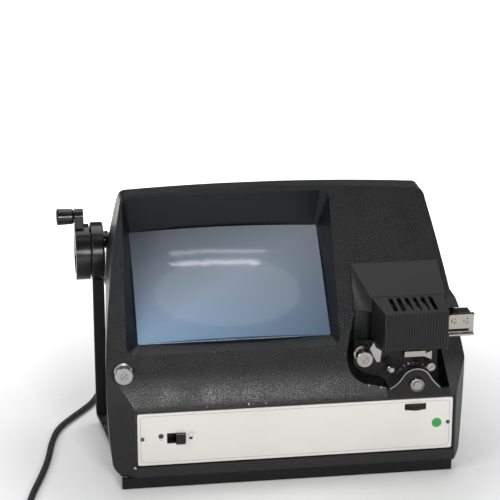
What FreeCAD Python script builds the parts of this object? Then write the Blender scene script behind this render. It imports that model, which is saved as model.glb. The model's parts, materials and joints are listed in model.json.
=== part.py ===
"""Table-top viewer and editor for 8 mm film, as a parametric FreeCAD document.

Frame: millimetres, +Z up, the operator stands at -Y and looks along +Y, +X is to the right.
The casing's middle plane is at X = 0 while the pieces are drawn, and every piece is then moved
by mid_x and mid_y, so that the origin is under the middle of the whole object, on the table.
"""
import FreeCAD, Part
import math
import os

import Sketcher
from FreeCAD import Placement, Rotation, Vector

SIZES = {
    "overall": dict(depth=158.0, height=228.6, beyond=30.0),
    "base": dict(
        foot_stand=1.0, foot_radius=8.0, foot_sunk=2.0, foot_inset=16.0,
        foot_right_inset=24.0, foot_left_inset=36.0, foot_pad_rim=2.0, foot_edge=1.0,
        skirt_half=139.5, skirt_rear_half=127.0, skirt_wall=3.0, skirt_inset=1.0, deck_bottom=10.2,
        seat=12.0, deck_half=140.5, deck_rear_half=122.0, base_inset=1.5, deck_short=1.5,
        bar_slot_low=4.3, bar_slot_front=-69.5, bar_slot_spare=21.0, boss_height=6.0, boss_radius=6.5,
        tab_height=16.0, tab_width=14.0, tab_thick=3.0, screw_pitch=40.0, screw_rise=8.0,
        screw_shank=1.6, screw_head=3.0, screw_head_thick=1.8, cross_wide=0.8, cross_long=3.6,
        cross_deep=0.8),
    "casing": dict(
        wall=2.6, front=-76.0, front_wall=5.0, ledge=72.0, bulge_radius=120.0,
        cheek_y=-60.0, cheek_z=103.5, brow_back=59.1, crest_long=15.1,
        shoulder_back=14.0, shoulder_drop=58.6, rear_knee=118.0, rear_round=120.0,
        foot_half=141.0, low_half=146.4, low_z=21.5, low_round=12.0, half_wide=150.0, wide_z=100.0,
        side_low_radius=900.0, left_side_radius=700.0, right_side_radius=1100.0,
        high_half=130.2, left_high_drop=8.6, right_high_drop=12.6,
        top_half=124.5, left_top_drop=3.0, right_top_drop=5.7, top_round=7.0, crown_radius=1760.0,
        facet_left=127.8, facet_left_y=-61.5, facet_right=141.0, facet_right_y=-63.3,
        step_back=38.0, step_half=141.0, rear_half_front=127.0, rear_half_back=122.0,
        rear_corner=12.0, vent_count=11, vent_pitch=18.0, vent_wide=4.0, vent_rise=10.0,
        vent_long=26.0, vent_deep=24.0),
    "screen": dict(
        screen_x=-40.6, screen_width=161.7, screen_low_y=-40.0, screen_low_z=115.5,
        screen_back=45.2, screen_drop=40.8, recess_left_low=132.0, recess_left_high=128.3,
        recess_right_low=46.3, recess_right_high=47.6, recess_low=10.1, recess_drop=5.2,
        recess_corner=8.0, screen_corner=2.0,
        funnel_wall=2.6, glass_lap=3.5, glass_thick=2.5, glass_dome=6.5, dome_radius=715.0,
        field_thick=7.0, field_radius=820.0, clip_wide=12.0,
        clip_long=5.0, clip_gap=0.3, clip_thick=1.5, clip_inset=30.0, dome_gap=0.3),
    "bay": dict(
        bay_spare=1.8, bay_top=137.0, bay_reach=14.0, scoop_top_x=61.5, scoop_mid_x=51.5,
        scoop_mid_z=109.0, scoop_slope=0.45, scoop_toe_x=70.0, scoop_toe_y=-72.0, scoop_toe_z=82.0,
        scoop_toe_slope=0.3, bay_gap=0.3,
        gate_left=82.3, gate_shoulder=79.5, bay_floor=70.8, bay_right_low=136.3, bay_right_high=131.0,
        bay_right_z=104.0, well_left=86.0, well_right=127.0, well_floor=67.6, well_back=-52.0,
        well_wall=2.0),
    "hood": dict(
        hood_left=60.0, hood_right=133.8, hood_high=78.6, hood_lap=2.788, hood_sunk=3.0,
        hood_rise=2.6,
        hood_front_y=-47.0, hood_front_left=72.0, hood_front_right=136.0, hood_front_top=150.0,
        hood_lift=2.2, hood_wall=2.2, shelf_deep=24.0, shelf_right=146.8, shelf_low=139.0,
        shelf_high=148.5, shelf_top_x=143.0, shelf_front=-52.0),
    "lamp": dict(
        cover_left=72.9, cover_right=135.1, cover_gap=0.3, cover_front_left=77.3,
        cover_front_right=130.7, cover_top=149.7, cover_front_top=147.4, cover_low=115.0, cover_proud=6.0,
        cover_wall=1.8, rib_count=24, rib_deep=0.9, rib_wide=1.25, slot_count=6, slot_pitch=6.7,
        slot_wide=3.4, slot_rear=-49.5, slot_front=-76.0, slot_mid_x=104.6,
        bracket_half=10.5, bracket_thick=2.0, bracket_reach=9.0, leg_drop=5.5, socket_drop=6.7, socket_long=9.0, socket_radius=7.0,
        bulb_radius=5.5, bulb_long=15.0, bulb_neck=2.6),
    "gate": dict(
        gate_x=106.5, gate_z=82.5, film_y=-66.0, plate_thick=3.0, plate_slant=1.4,
        chassis_front=-54.0, chassis_thick=3.0, chassis_left=57.5, chassis_right=129.0,
        chassis_low=72.5, chassis_top=132.0, spacer_wide=10.0, spacer_low=6.0, spacer_high=22.0,
        spacer_left=24.0, spacer_right=12.0, rib_pitch_gap=1.6, hub_radius=4.5, hub_long=3.0, sprocket_radius=13.3, sprocket_teeth=20, tooth_high=0.9,
        tooth_wide=1.1, tooth_thick=1.2, sprocket_rim=2.4, prism_inradius=8.5, prism_faces=12,
        film_half=4.0, flange_thick=1.6, flange_radius=9.5, stub_radius=2.5, run_gap=0.05,
        cap_radius=6.0, cap_edge=0.8, cap_face=3.1, cap_dish=1.0, cap_lip=1.3, cap_thick=3.7,
        cap_gap=0.3, saddle_radius=13.3, saddle_thick=0.9, saddle_spread=60.0,
        left_tail_radius=25.0, left_tail_turn=35.0, right_tail_radius=40.0, right_tail_turn=20.5,
        saddle_gap=0.4, window_half=4.2, window_deep=3.0,
        aperture_front=-75.0, aperture_low=106.3, aperture_thick=2.0, aperture_left=10.5,
        aperture_right=7.2, aperture_lip=1.2, aperture_high=4.7, fin_low=3.0, fin_reach=5.2,
        condenser_radius=7.5, condenser_rim=1.2, condenser_curve=11.0),
    "rollers": dict(
        roller_z=102.8, roller_x=-136.0, roller_radius=7.5, roller_waist=6.0, roller_rear=-64.5,
        roller_front=-76.0, post_radius=2.0, scoop_radius=8.4, scoop_back=-64.2, boss_seat=-58.0,
        pad_radius=11.0, pad_thick=3.0, flange_long=1.4, flange_chamfer=0.5, groove_slant=0.8,
        head_radius=2.9, head_thick=1.0, head_slot=0.9, head_bite=0.8, head_turn=38.0, head_sunk=0.1,
        head_gap=0.2, right_roller_x=62.6, right_roller_z=106.2, right_radius=6.9, right_waist=5.6,
        right_rear=-61.4, small_x=85.5, small_z=95.3, small_radius=3.3, small_front=-74.0,
        small_rear=-58.0, small_pin=1.2, small_head=2.1, small_head_thick=0.8, small_round=0.8,
        gate_screw_x=119.6, gate_screw_z=95.0, gate_screw_radius=3.5, gate_screw_thick=1.8,
        gate_screw_shank=1.8, gate_screw_front=-72.0,
        wing_top_x=71.0, wing_top_z=118.8, wing_left_x=67.7, wing_left_z=113.2, wing_low_x=73.5,
        wing_low_z=101.3, wing_right_x=77.6, wing_right_z=110.9, wing_foot=2.9, wing_thick=0.9,
        wing_front=-70.0, wing_clear=0.5),
    "optics": dict(
        wheel_radius=11.5, wheel_low=58.6, wheel_high=63.4, tube_radius=4.6, tube_bore=3.7,
        tube_low=47.0, tube_high=63.0, mount_top=65.6, mount_plate=1.6, mount_low=50.0,
        mount_floor=3.0, mount_leg_in=14.0, mount_leg_out=16.5, lens_low=51.0, lens_thick=7.0, lens_curve=9.0,
        mirror_shift=1.4, first_mirror_z=28.0, first_mirror_long=14.0, first_mirror_wide=8.0, mirror_thick=2.0,
        main_mirror_x=-40.0, mirror_back=37.0, main_mirror_z=86.0, main_mirror_long=76.0,
        main_mirror_high=54.0, rib_thick=3.0, first_stand_half=6.0, first_stand_near=4.0,
        first_stand_far=12.0, main_stand_half=22.0, main_stand_near=2.0, main_stand_far=24.0,
        stand_over=16.0, mount_near=4.5, mount_far=12.0, flute_radius=0.45, flute_count=48),
    "plate": dict(
        plate_left=126.0, plate_right=138.4, plate_low=22.0, plate_high=68.2, plate_deep=2.4,
        plate_gap=1.0, window_rim=1.0, light_radius=7.5, plate_screw_bite=2.0, plate_sheet_thick=1.2, plate_corner=1.6, switch_slot_left=101.8,
        switch_slot_right=86.2, switch_low=40.6, switch_high=50.0, focus_slot_half=9.1,
        focus_slot_low=58.1, focus_slot_high=63.9, wheel_window_half=10.9, marker_x=125.1,
        marker_z=45.6, marker_radius=4.2, marker_thick=0.5, plate_screw_left=122.1,
        plate_screw_right=134.6, plate_screw_z=45.8, plate_screw_radius=1.7, plate_screw_shank=1.0,
        plate_screw_thick=0.7, plate_screw_slot=0.5,
        knob_left=94.4, knob_right=86.8, knob_front=-78.4, knob_gap=0.3, knob_travel=6.9,
        channel_gap=0.5, groove_first=1.1, groove_pitch=1.6, groove_wide=0.6, groove_deep=0.5,
        body_left=110.0, body_right=78.0, body_rear=-52.0, body_low=36.0, body_high=55.0,
        tongue_rear=-62.0),
    "power": dict(
        core_left=118.0, core_right=72.0, core_deep=36.0, core_behind=0.0, core_high=40.0,
        coil_side=9.0, coil_inset=8.0, coil_low=18.0, coil_top=48.0, strap_long=8.0, strap_inset=6.0,
        strap_thick=2.0, cord_exit_x=-95.0, cord_exit_z=24.0, cord_radius=2.8,
        relief_root=6.0, relief_tip=3.9, relief_long=24.0, relief_flange=8.0, relief_flange_thick=2.0,
        coil_x=-258.0, coil_y=-170.0, coil_outer=38.0, coil_inner=22.0, coil_high=17.0,
        coil_lift=0.15, plug_off=24.0, plug_entry=18.0, plug_long=36.0, plug_nose=14.0,
        plug_nose_half=6.0, plug_wide=24.0, plug_thick=13.0, plug_gap=0.1, prong_long=19.0,
        prong_radius=2.0, prong_pitch=19.0),
    "rail": dict(
        rail_left=137.0, rail_long=21.4, rail_front=-57.0, rail_thick=2.4, rail_low=116.4,
        rail_high=135.4, rail_lip=1.6, rail_lip_out=2.6, rail_slot_low=119.6, rail_slot_high=121.8,
        rail_slot_long=17.5, rail_screw_z=128.0, rail_screw_first=4.6, rail_screw_second=15.3,
        rail_screw_radius=2.6, rail_screw_head=1.1, rail_shank=1.3, bracket_short=1.4,
        bracket_low=118.0, bracket_high=134.0),
    "arm": dict(
        pivot_x=-131.0, pivot_y=-60.0, pivot_radius=4.0, pivot_head=6.5, pivot_head_low=4.6,
        pivot_head_gap=0.2, slot_margin=8.0,
        bar_low=6.8, bar_high=9.8, bar_half=6.5, bar_aim=1.5, arm_back=16.0, post_left=152.2,
        post_right=142.2, post_half=4.0, post_lap=4.0, case_left=153.0, case_right=142.0,
        case_radius=25.5, case_round=1.0, hub_drop=66.0,
        case_wall=2.6, axle_radius=3.4, axle_clear=0.05, crank_thick=12.3, crank_gap=1.2,
        crank_radius=24.3, ring_outer=19.5, gear_module=0.85, ring_teeth=36, pinion_teeth=12,
        tooth_share=0.36, gear_gap=0.6, spindle_shaft=3.0, spindle_flange=7.4, spindle_flange_thick=1.8,
        spindle_core=6.2, spindle_root=6.6, spindle_tip=128.6, spindle_nose=1.2, lug_reach=1.5,
        lug_wide=2.4, lug_long=2.0, flange_clear=0.4, spindle_gap=0.2,
        inner_plate_thick=1.2, inner_plate_half=10.0, inner_plate_down=27.6, inner_plate_up=1.4,
        crank_throw=32.4, crank_arm_half=6.5, crank_arm_thick=7.9, crank_rim=5.0, crank_dish=2.0,
        knob_radius=7.1, knob_clear=0.2, knob_long=15.0, knob_pin=2.0, knob_round=1.6,
        knob_taper=0.5, pin_head=1.2, pin_head_thick=0.8, pin_proud=0.2),
}

document = FreeCAD.newDocument("film_editor")
sheet = document.addObject("Spreadsheet::Sheet", "size")


class Size:
    """A number that also carries its formula in terms of the spreadsheet's cells."""

    def __init__(self, value, formula=None):
        self.value = float(value)
        self.formula = formula or "%.6f" % self.value

    def join(self, other, sign, value):
        return Size(value, "(%s %s %s)" % (self.formula, sign, other.formula))

    def __add__(self, other):
        other = as_size(other)
        return self.join(other, "+", self.value + other.value)

    def __sub__(self, other):
        other = as_size(other)
        return self.join(other, "-", self.value - other.value)

    def __mul__(self, other):
        other = as_size(other)
        return self.join(other, "*", self.value * other.value)

    def __truediv__(self, other):
        other = as_size(other)
        return self.join(other, "/", self.value / other.value)

    def __radd__(self, other):
        return as_size(other) + self

    def __rsub__(self, other):
        return as_size(other) - self

    def __rmul__(self, other):
        return as_size(other) * self

    def __neg__(self):
        return as_size(0) - self


def as_size(number):
    return number if isinstance(number, Size) else Size(number)


def root_of_squares(one, other):
    value = math.hypot(one.value, other.value)
    return Size(value, "sqrt(%s ^ 2 + %s ^ 2)" % (one.formula, other.formula))


def sagitta(radius, reach):
    """The height of a cap whose rim has the given reach, on a sphere of the given radius."""
    value = radius.value - math.sqrt(radius.value ** 2 - reach.value ** 2)
    return Size(value, "(%s - sqrt(%s ^ 2 - %s ^ 2))" % (
        radius.formula, radius.formula, reach.formula))


def angle_of(rise, run):
    """The slope angle in degrees, for a rise over a positive run."""
    value = math.degrees(math.atan2(rise.value, run.value))
    return Size(value, "atan(%s / %s)" % (rise.formula, run.formula))


class Sizes:
    """The driving dimensions, one attribute for each cell of the spreadsheet."""


def fill_sheet():
    sizes = Sizes()
    row = 1
    for group, cells in SIZES.items():
        sheet.set("A%d" % row, group)
        row += 1
        for name, number in cells.items():
            sheet.set("A%d" % row, name)
            sheet.set("B%d" % row, str(number))
            sheet.setAlias("B%d" % row, name)
            setattr(sizes, name, Size(number, "size." + name))
            row += 1
    document.recompute()
    return sizes


def face_length():
    """The leaning face's length up the slope, from the cheek to the crest."""
    return root_of_squares(s.crest_z - s.cheek_z, s.brow_y - s.cheek_y)


def face_lean():
    """How far the leaning face goes back for each millimetre of height."""
    return (s.brow_y - s.cheek_y) / (s.crest_z - s.cheek_z)


def face_y(z):
    """Where the leaning face is at a height."""
    return s.cheek_y + (z - s.cheek_z) * face_lean()


def work_out_places():
    """Places that follow from the depth, the height and what the pieces sit against."""
    s.rear = s.front + s.depth
    s.base_front = s.front + s.base_inset
    s.base_rear = s.rear - s.base_inset
    s.step_y = s.rear - s.step_back
    s.shoulder_y = s.rear - s.shoulder_back
    s.brow_y = s.rear - s.brow_back
    s.crest_back = s.brow_y + s.crest_long
    s.arm_y = s.rear - s.arm_back
    s.main_mirror_y = s.rear - s.mirror_back
    s.cover_front = s.front - s.cover_proud
    s.crest_z = s.height
    s.left_top_z = s.height - s.left_top_drop
    s.right_top_z = s.height - s.right_top_drop
    s.left_high_z = s.height - s.left_high_drop
    s.right_high_z = s.height - s.right_high_drop
    s.shoulder_z = s.height - s.shoulder_drop
    s.hub_z = s.height - s.hub_drop
    s.screen_run = s.rear - s.screen_back - s.screen_low_y
    s.screen_rise = s.height - s.screen_drop - s.screen_low_z
    s.recess_high = face_length() - s.recess_drop
    s.socket_top = s.cover_top - s.socket_drop
    s.socket_low = s.socket_top - s.socket_long
    s.bulb_low = s.socket_low - s.bulb_long
    s.bay_back = face_y(s.bay_top) + s.bay_spare
    up_slope = face_length() / (s.crest_z - s.cheek_z)
    s.hood_low = (s.bay_top - s.cheek_z) * up_slope - s.hood_lap
    s.core_rear = s.step_y - s.core_behind
    s.core_front = s.core_rear - s.core_deep
    s.crank_left = s.case_left + s.crank_gap + s.crank_thick
    s.crank_arm_right = s.crank_left - s.crank_arm_thick
    s.knob_inner = s.crank_left + s.knob_clear
    s.knob_outer = s.knob_inner + s.knob_long
    s.rail_right = s.rail_left + s.rail_long
    s.mid_x = (s.knob_outer + s.pin_proud - s.rail_right) / 2
    s.mid_y = (s.rib_deep - s.cover_front - s.arm_y - s.case_radius) / 2


s = fill_sheet()
work_out_places()
ZERO = as_size(0)
AXES = {"X": Vector(1, 0, 0), "Y": Vector(0, 1, 0), "Z": Vector(0, 0, 1)}
PLANES = {
    "XY": (Rotation(), "Z"),
    "XZ": (Rotation(Vector(1, 0, 0), 90), "Y"),
    "YZ": (Rotation(Vector(1, 1, 1), 120), "X"),
}
places = {}
nodes = []


# ---------------------------------------------------------------- drawing helpers

def bind(item, path, amount):
    item.setExpression(path, as_size(amount).formula)


def move(item, x, y, z, rotation=None):
    """Put an object's own origin at a place whose coordinates stay bound to the sheet."""
    places[item.Name] = (as_size(x), as_size(y), as_size(z))
    spot = Vector(*(amount.value for amount in places[item.Name]))
    item.Placement = Placement(spot, rotation or Rotation())
    for axis, amount in zip("xyz", places[item.Name]):
        bind(item, "Placement.Base." + axis, amount)
    return item


def outline(sketch, points):
    """Draw a closed outline, anticlockwise, from points (x, y) or (x, y, radius).

    With a radius the edge that ends at the point is an arc: a positive radius bulges
    outwards and a negative one inwards.
    """
    corners = [(as_size(point[0]), as_size(point[1])) for point in points]
    spots = [Vector(across.value, up.value, 0) for across, up in corners]
    ends = []
    for index, point in enumerate(points):
        before, spot = spots[index - 1], spots[index]
        radius = as_size(point[2]) if len(point) > 2 else None
        if radius is None:
            sketch.addGeometry(Part.LineSegment(before, spot))
            ends.append((1, 2))
            continue
        chord = spot - before
        side = Vector(chord.y, -chord.x, 0).normalize() * math.copysign(1, radius.value)
        bulge = abs(radius.value)
        height = bulge - math.sqrt(bulge ** 2 - (chord.Length / 2) ** 2)
        middle = (before + spot) * 0.5 + side * height
        if radius.value > 0:
            sketch.addGeometry(Part.Arc(before, middle, spot))
            ends.append((1, 2))
        else:
            sketch.addGeometry(Part.Arc(spot, middle, before))
            ends.append((2, 1))
    last = len(points) - 1
    for index, (across, up) in enumerate(corners):
        following = 0 if index == last else index + 1
        finish, start = ends[index][1], ends[following][0]
        sketch.addConstraint(Sketcher.Constraint("Coincident", index, finish, following, start))
        for kind, amount in (("DistanceX", across), ("DistanceY", up)):
            rule = sketch.addConstraint(
                Sketcher.Constraint(kind, -1, 1, index, finish, amount.value))
            name = "%s_%d" % (kind[-1].lower(), index)
            sketch.renameConstraint(rule, name)
            bind(sketch, "Constraints." + name, amount)
        if len(points[index]) > 2:
            radius = as_size(points[index][2])
            if radius.value < 0:
                radius = -radius
            rule = sketch.addConstraint(Sketcher.Constraint("Radius", index, radius.value))
            name = "round_%d" % index
            sketch.renameConstraint(rule, name)
            bind(sketch, "Constraints." + name, radius)


def prism(name, plane, points, start, finish):
    """Extrude an outline drawn on a plane of the frame, from start to finish along its normal."""
    rotation, axis = PLANES[plane]
    sketch = document.addObject("Sketcher::SketchObject", name + "_outline")
    where = {"X": 0, "Y": 0, "Z": 0}
    where[axis] = start
    move(sketch, where["X"], where["Y"], where["Z"], rotation)
    outline(sketch, points)
    solid = document.addObject("Part::Extrusion", name)
    solid.Base = sketch
    solid.DirMode = "Custom"
    solid.Dir = AXES[axis]
    solid.Solid = True
    bind(solid, "LengthFwd", as_size(finish) - start)
    return solid


def block(name, x_pair, y_pair, z_pair):
    """A box between two values along each axis."""
    solid = document.addObject("Part::Box", name)
    for side, (low, high) in zip(("Length", "Width", "Height"), (x_pair, y_pair, z_pair)):
        bind(solid, side, as_size(high) - low)
    return move(solid, x_pair[0], y_pair[0], z_pair[0])


def along(axis, start, across, up):
    """Coordinates and rotation that lay a local +Z along an axis of the frame."""
    if axis == "X":
        return start, across, up, Rotation(Vector(0, 1, 0), 90)
    if axis == "Y":
        return across, start, up, Rotation(Vector(1, 0, 0), -90)
    return across, up, start, Rotation()


def rod(name, axis, radius, start, finish, across, up):
    """A cylinder along an axis; across and up are its centre's other two coordinates."""
    solid = document.addObject("Part::Cylinder", name)
    bind(solid, "Radius", radius)
    bind(solid, "Height", as_size(finish) - start)
    return move(solid, *along(axis, start, across, up))


def turned(name, axis, points, start, across, up):
    """A PartDesign body revolved about an axis; points are (radius, distance from start)."""
    body = document.addObject("PartDesign::Body", name)
    sketch = body.newObject("Sketcher::SketchObject", name + "_section")
    face = [item for item in body.Origin.OriginFeatures if item.Role == "XZ_Plane"][0]
    sketch.AttachmentSupport = (face, [""])
    sketch.MapMode = "FlatFace"
    outline(sketch, points)
    spun = body.newObject("PartDesign::Revolution", name + "_turn")
    spun.Profile = sketch
    spun.ReferenceAxis = (sketch, ["V_Axis"])
    spun.Angle = 360
    body.Tip = spun
    return move(body, *along(axis, start, across, up))


def padded(name, role, points, length):
    """A PartDesign body with one pad from a sketch on one of its own origin planes."""
    body = document.addObject("PartDesign::Body", name)
    sketch = body.newObject("Sketcher::SketchObject", name + "_sketch")
    face = [item for item in body.Origin.OriginFeatures if item.Role == role][0]
    sketch.AttachmentSupport = (face, [""])
    sketch.MapMode = "FlatFace"
    outline(sketch, points)
    pad = body.newObject("PartDesign::Pad", name + "_pad")
    pad.Profile = sketch
    bind(pad, "Length", length)
    body.Tip = pad
    return body


def fused(name, *shapes):
    union = document.addObject("Part::MultiFuse", name)
    union.Shapes = list(shapes)
    return union


def shared(name, *shapes):
    common = document.addObject("Part::MultiCommon", name)
    common.Shapes = list(shapes)
    return common


def cut(name, base, *tools):
    result = document.addObject("Part::Cut", name)
    result.Base = base
    result.Tool = tools[0] if len(tools) == 1 else fused(name + "_tools", *tools)
    return result


def rounded(lower, upper, low, high, corner):
    """A four-sided outline with round corners; lower and upper give its left and right."""
    left, right = lower
    high_left, high_right = upper
    return [
        (left + corner, low, corner), (right - corner, low), (right, low + corner, corner),
        (high_right, high - corner), (high_right - corner, high, corner),
        (high_left + corner, high), (high_left, high - corner, corner), (left, low + corner)]


def cross_recess(name, x, z, face):
    """Two crossed slots in a screw head whose face is at a place along Y."""
    half, long = s.cross_wide / 2, s.cross_long / 2
    return [block(name, (x - a, x + a), (face - s.cross_deep, face + s.cross_deep),
                  (z - b, z + b)) for a, b in ((half, long), (long, half))]


def solid_of(name, shape):
    """An object whose shape is worked out by code from the sheet's values."""
    item = document.addObject("Part::Feature", name)
    item.Shape = shape
    return item


def node(label, item):
    """Name a finished sub-part and move it by the placing offsets."""
    item.Label = label
    x, y, z = places.get(item.Name, (as_size(0), as_size(0), as_size(0)))
    turn = item.Placement.Rotation
    move(item, x + s.mid_x, y + s.mid_y, z, turn)
    nodes.append(item)
    return item


def tilted(item, x, y, z, angle):
    """Turn an object about X by an angle bound to the sheet, then move it."""
    move(item, x, y, z, Rotation(Vector(1, 0, 0), angle.value))
    bind(item, "Placement.Rotation.Angle", angle)
    return item


# ---------------------------------------------------------------- housing

def side_outline(inset, front_inset, below):
    """The casing from the left side, in Y and Z: upright front, bulge, leaning face, back."""
    back = face_length() / (s.crest_z - s.cheek_z) * inset
    return [
        (s.front + front_inset, s.seat - below),
        (s.rear - inset, s.seat - below),
        (s.rear - inset, s.rear_knee),
        (s.shoulder_y - inset, s.shoulder_z - inset / 2, s.rear_round),
        (s.crest_back - inset, s.crest_z - inset),
        (s.brow_y + back - face_lean() * inset, s.crest_z - inset),
        (s.cheek_y + back, s.cheek_z),
        (s.front + front_inset, s.ledge, s.bulge_radius),
    ]


def front_outline(inset, below):
    """The casing from the front, in X and Z, with rounded flanks and a crowned top."""
    return [
        (-s.foot_half + inset, s.seat - below, s.low_round),
        (s.foot_half - inset, s.seat - below),
        (s.low_half - inset, s.low_z, s.low_round),
        (s.half_wide - inset, s.wide_z, s.side_low_radius),
        (s.high_half - inset, s.right_high_z, s.right_side_radius),
        (s.top_half - inset, s.right_top_z - inset, s.top_round),
        (-s.top_half + inset, s.left_top_z - inset, s.crown_radius),
        (-s.high_half + inset, s.left_high_z, s.top_round),
        (-s.half_wide + inset, s.wide_z, s.left_side_radius),
        (-s.low_half + inset, s.low_z, s.side_low_radius),
    ]


def plan_outline(inset, front_inset):
    """The casing from above, in X and Y: facets at the front corners and a stepped-in back."""
    return [
        (-s.facet_left, s.front + front_inset),
        (s.facet_right - inset / 2, s.front + front_inset),
        (s.half_wide - inset, s.facet_right_y + inset / 4),
        (s.step_half - inset, s.step_y - inset),
        (s.rear_half_front - inset, s.step_y - inset),
        (s.rear_half_back - inset, s.rear - s.rear_corner),
        (s.rear_half_back - s.rear_corner, s.rear - inset, s.rear_corner - inset / 2),
        (-s.rear_half_back + s.rear_corner, s.rear - inset),
        (-s.rear_half_back + inset, s.rear - s.rear_corner, s.rear_corner - inset / 2),
        (-s.rear_half_front + inset, s.step_y - inset),
        (-s.step_half + inset, s.step_y - inset),
        (-s.half_wide + inset, s.facet_left_y + inset / 4),
    ]


def casing_form(name, inset, front_inset, below):
    """What the side, front and plan outlines have in common is the casing's solid form."""
    reach = s.half_wide + s.beyond
    side = prism(name + "_side", "YZ", side_outline(inset, front_inset, below), -reach, reach)
    front = prism(name + "_front", "XZ", front_outline(inset, below), s.front - s.beyond,
                  s.rear + s.beyond)
    plan = prism(name + "_plan", "XY", plan_outline(inset, front_inset), s.seat - s.beyond,
                 s.crest_z + s.beyond)
    return shared(name, side, front, plan)


def face_angle():
    return angle_of(s.crest_z - s.cheek_z, s.brow_y - s.cheek_y)


def face_foot(out):
    """Y and Z of the face's lower edge, moved out along the face's normal."""
    long = face_length()
    return (s.cheek_y - (s.crest_z - s.cheek_z) / long * out,
            s.cheek_z + (s.brow_y - s.cheek_y) / long * out)


def screen_angle():
    return angle_of(s.screen_rise, s.screen_run)


def screen_height():
    return root_of_squares(s.screen_run, s.screen_rise)


def sketch_on_slope(name, points, y, z, angle):
    """An outline on a plane that leans back, drawn with X across and Y up the slope."""
    sketch = document.addObject("Sketcher::SketchObject", name)
    tilted(sketch, 0, y, z, angle)
    outline(sketch, points)
    return sketch


def lofted(name, *sections):
    solid = document.addObject("Part::Loft", name)
    solid.Sections = list(sections)
    solid.Solid = True
    solid.Ruled = True
    return solid


def screen_funnel(name, grow, lap):
    """The tapering well between the leaning face and the screen, grown by a wall if asked."""
    lower = (-s.recess_left_low - grow, s.recess_right_low + grow)
    upper = (-s.recess_left_high - grow, s.recess_right_high + grow)
    mouth = sketch_on_slope(name + "_mouth", rounded(
        lower, upper, s.recess_low - grow, s.recess_high + grow, s.recess_corner + grow),
        s.cheek_y, s.cheek_z, face_angle())
    half = s.screen_width / 2 + lap
    across = (s.screen_x - half, s.screen_x + half)
    throat = sketch_on_slope(name + "_throat", rounded(
        across, across, -lap, screen_height() + lap, s.screen_corner + grow),
        s.screen_low_y, s.screen_low_z, screen_angle())
    return lofted(name, mouth, throat)


def arc_radius(run, rise):
    """The radius of an arc over a run and a rise that starts upright."""
    return (run * run + rise * rise) / (run * 2)


def bay_profile(grow, y):
    """The film gate's bay at a depth: a round left side that slopes in, an upright right."""
    top = s.scoop_top_x + s.scoop_slope * (y - face_y(s.bay_top)) - grow
    middle = s.scoop_mid_x + s.scoop_slope * (y - face_y(s.scoop_mid_z)) - grow
    toe = s.scoop_toe_x + s.scoop_toe_slope * (y - s.scoop_toe_y) - grow
    upper, lower = s.bay_top + grow - s.scoop_mid_z, s.scoop_mid_z - s.scoop_toe_z + grow
    return [
        (s.gate_left - grow, s.bay_floor - grow),
        (s.bay_right_low + grow, s.bay_floor - grow),
        (s.bay_right_high + grow, s.bay_right_z),
        (s.bay_right_high + grow, s.bay_top + grow),
        (top, s.bay_top + grow),
        (middle, s.scoop_mid_z, arc_radius(top - middle, upper)),
        (toe, s.scoop_toe_z - grow, arc_radius(toe - middle, lower)),
        (s.gate_left - grow, s.gate_shoulder - grow),
    ]


def upright_sketch(name, y, points):
    """An outline on an upright plane that faces the operator, at a depth."""
    sketch = document.addObject("Sketcher::SketchObject", name)
    move(sketch, 0, y, 0, PLANES["XZ"][0])
    outline(sketch, points)
    return sketch


def bay_scoop(name, grow, back):
    front = s.front - s.bay_reach
    return lofted(name, upright_sketch(name + "_near", front, bay_profile(grow, front)),
                  upright_sketch(name + "_far", back, bay_profile(grow, back)))


def bay_form(name, grow, back, floor):
    """The bay's hollow, or its wall when grown: the scooped bay and the sprocket's well."""
    well = block(name + "_well",
                 (s.well_left - grow, s.well_right + grow),
                 (s.front + s.front_wall, s.well_back + grow), (floor, s.bay_floor + s.foot_edge))
    return fused(name, bay_scoop(name + "_scoop", grow, back), well)


def hood_form(name, inset, front_gap):
    """The lamp hood: a collar that stands up from the face, then a wedge to its upright mouth."""
    left, right = s.hood_left + inset, s.hood_right - inset
    low, high = s.hood_low + inset, s.hood_high - inset
    edge = [(left, low), (right, low), (right, high), (left, high)]
    sections = []
    for place, out in (("root", -s.hood_sunk), ("collar", s.hood_rise - inset)):
        y, z = face_foot(out)
        sections.append(sketch_on_slope(name + "_" + place, edge, y, z, face_angle()))
    y, z = face_foot(s.hood_rise)
    foot = z + (s.hood_front_y - y) / face_lean() + s.hood_lift
    left, right = s.hood_front_left + inset, s.hood_front_right - inset
    low, high = foot + inset, s.hood_front_top - inset
    mouth = upright_sketch(name + "_mouth", s.hood_front_y - front_gap, [
        (left, low), (right, low), (right, high), (left, high)])
    return fused(name, lofted(name + "_base", *sections),
                 lofted(name + "_wedge", sections[1], mouth))


def rail_shelf():
    """A small shelf on the right flank above the splicer rail."""
    inner = s.cover_right + s.cover_gap
    return prism("rail_shelf", "XZ", [
        (inner, s.shelf_low),
        (s.shelf_right, s.shelf_low),
        (s.shelf_top_x, s.shelf_high),
        (inner, s.shelf_high),
    ], s.shelf_front, s.shelf_front + s.shelf_deep)


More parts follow.
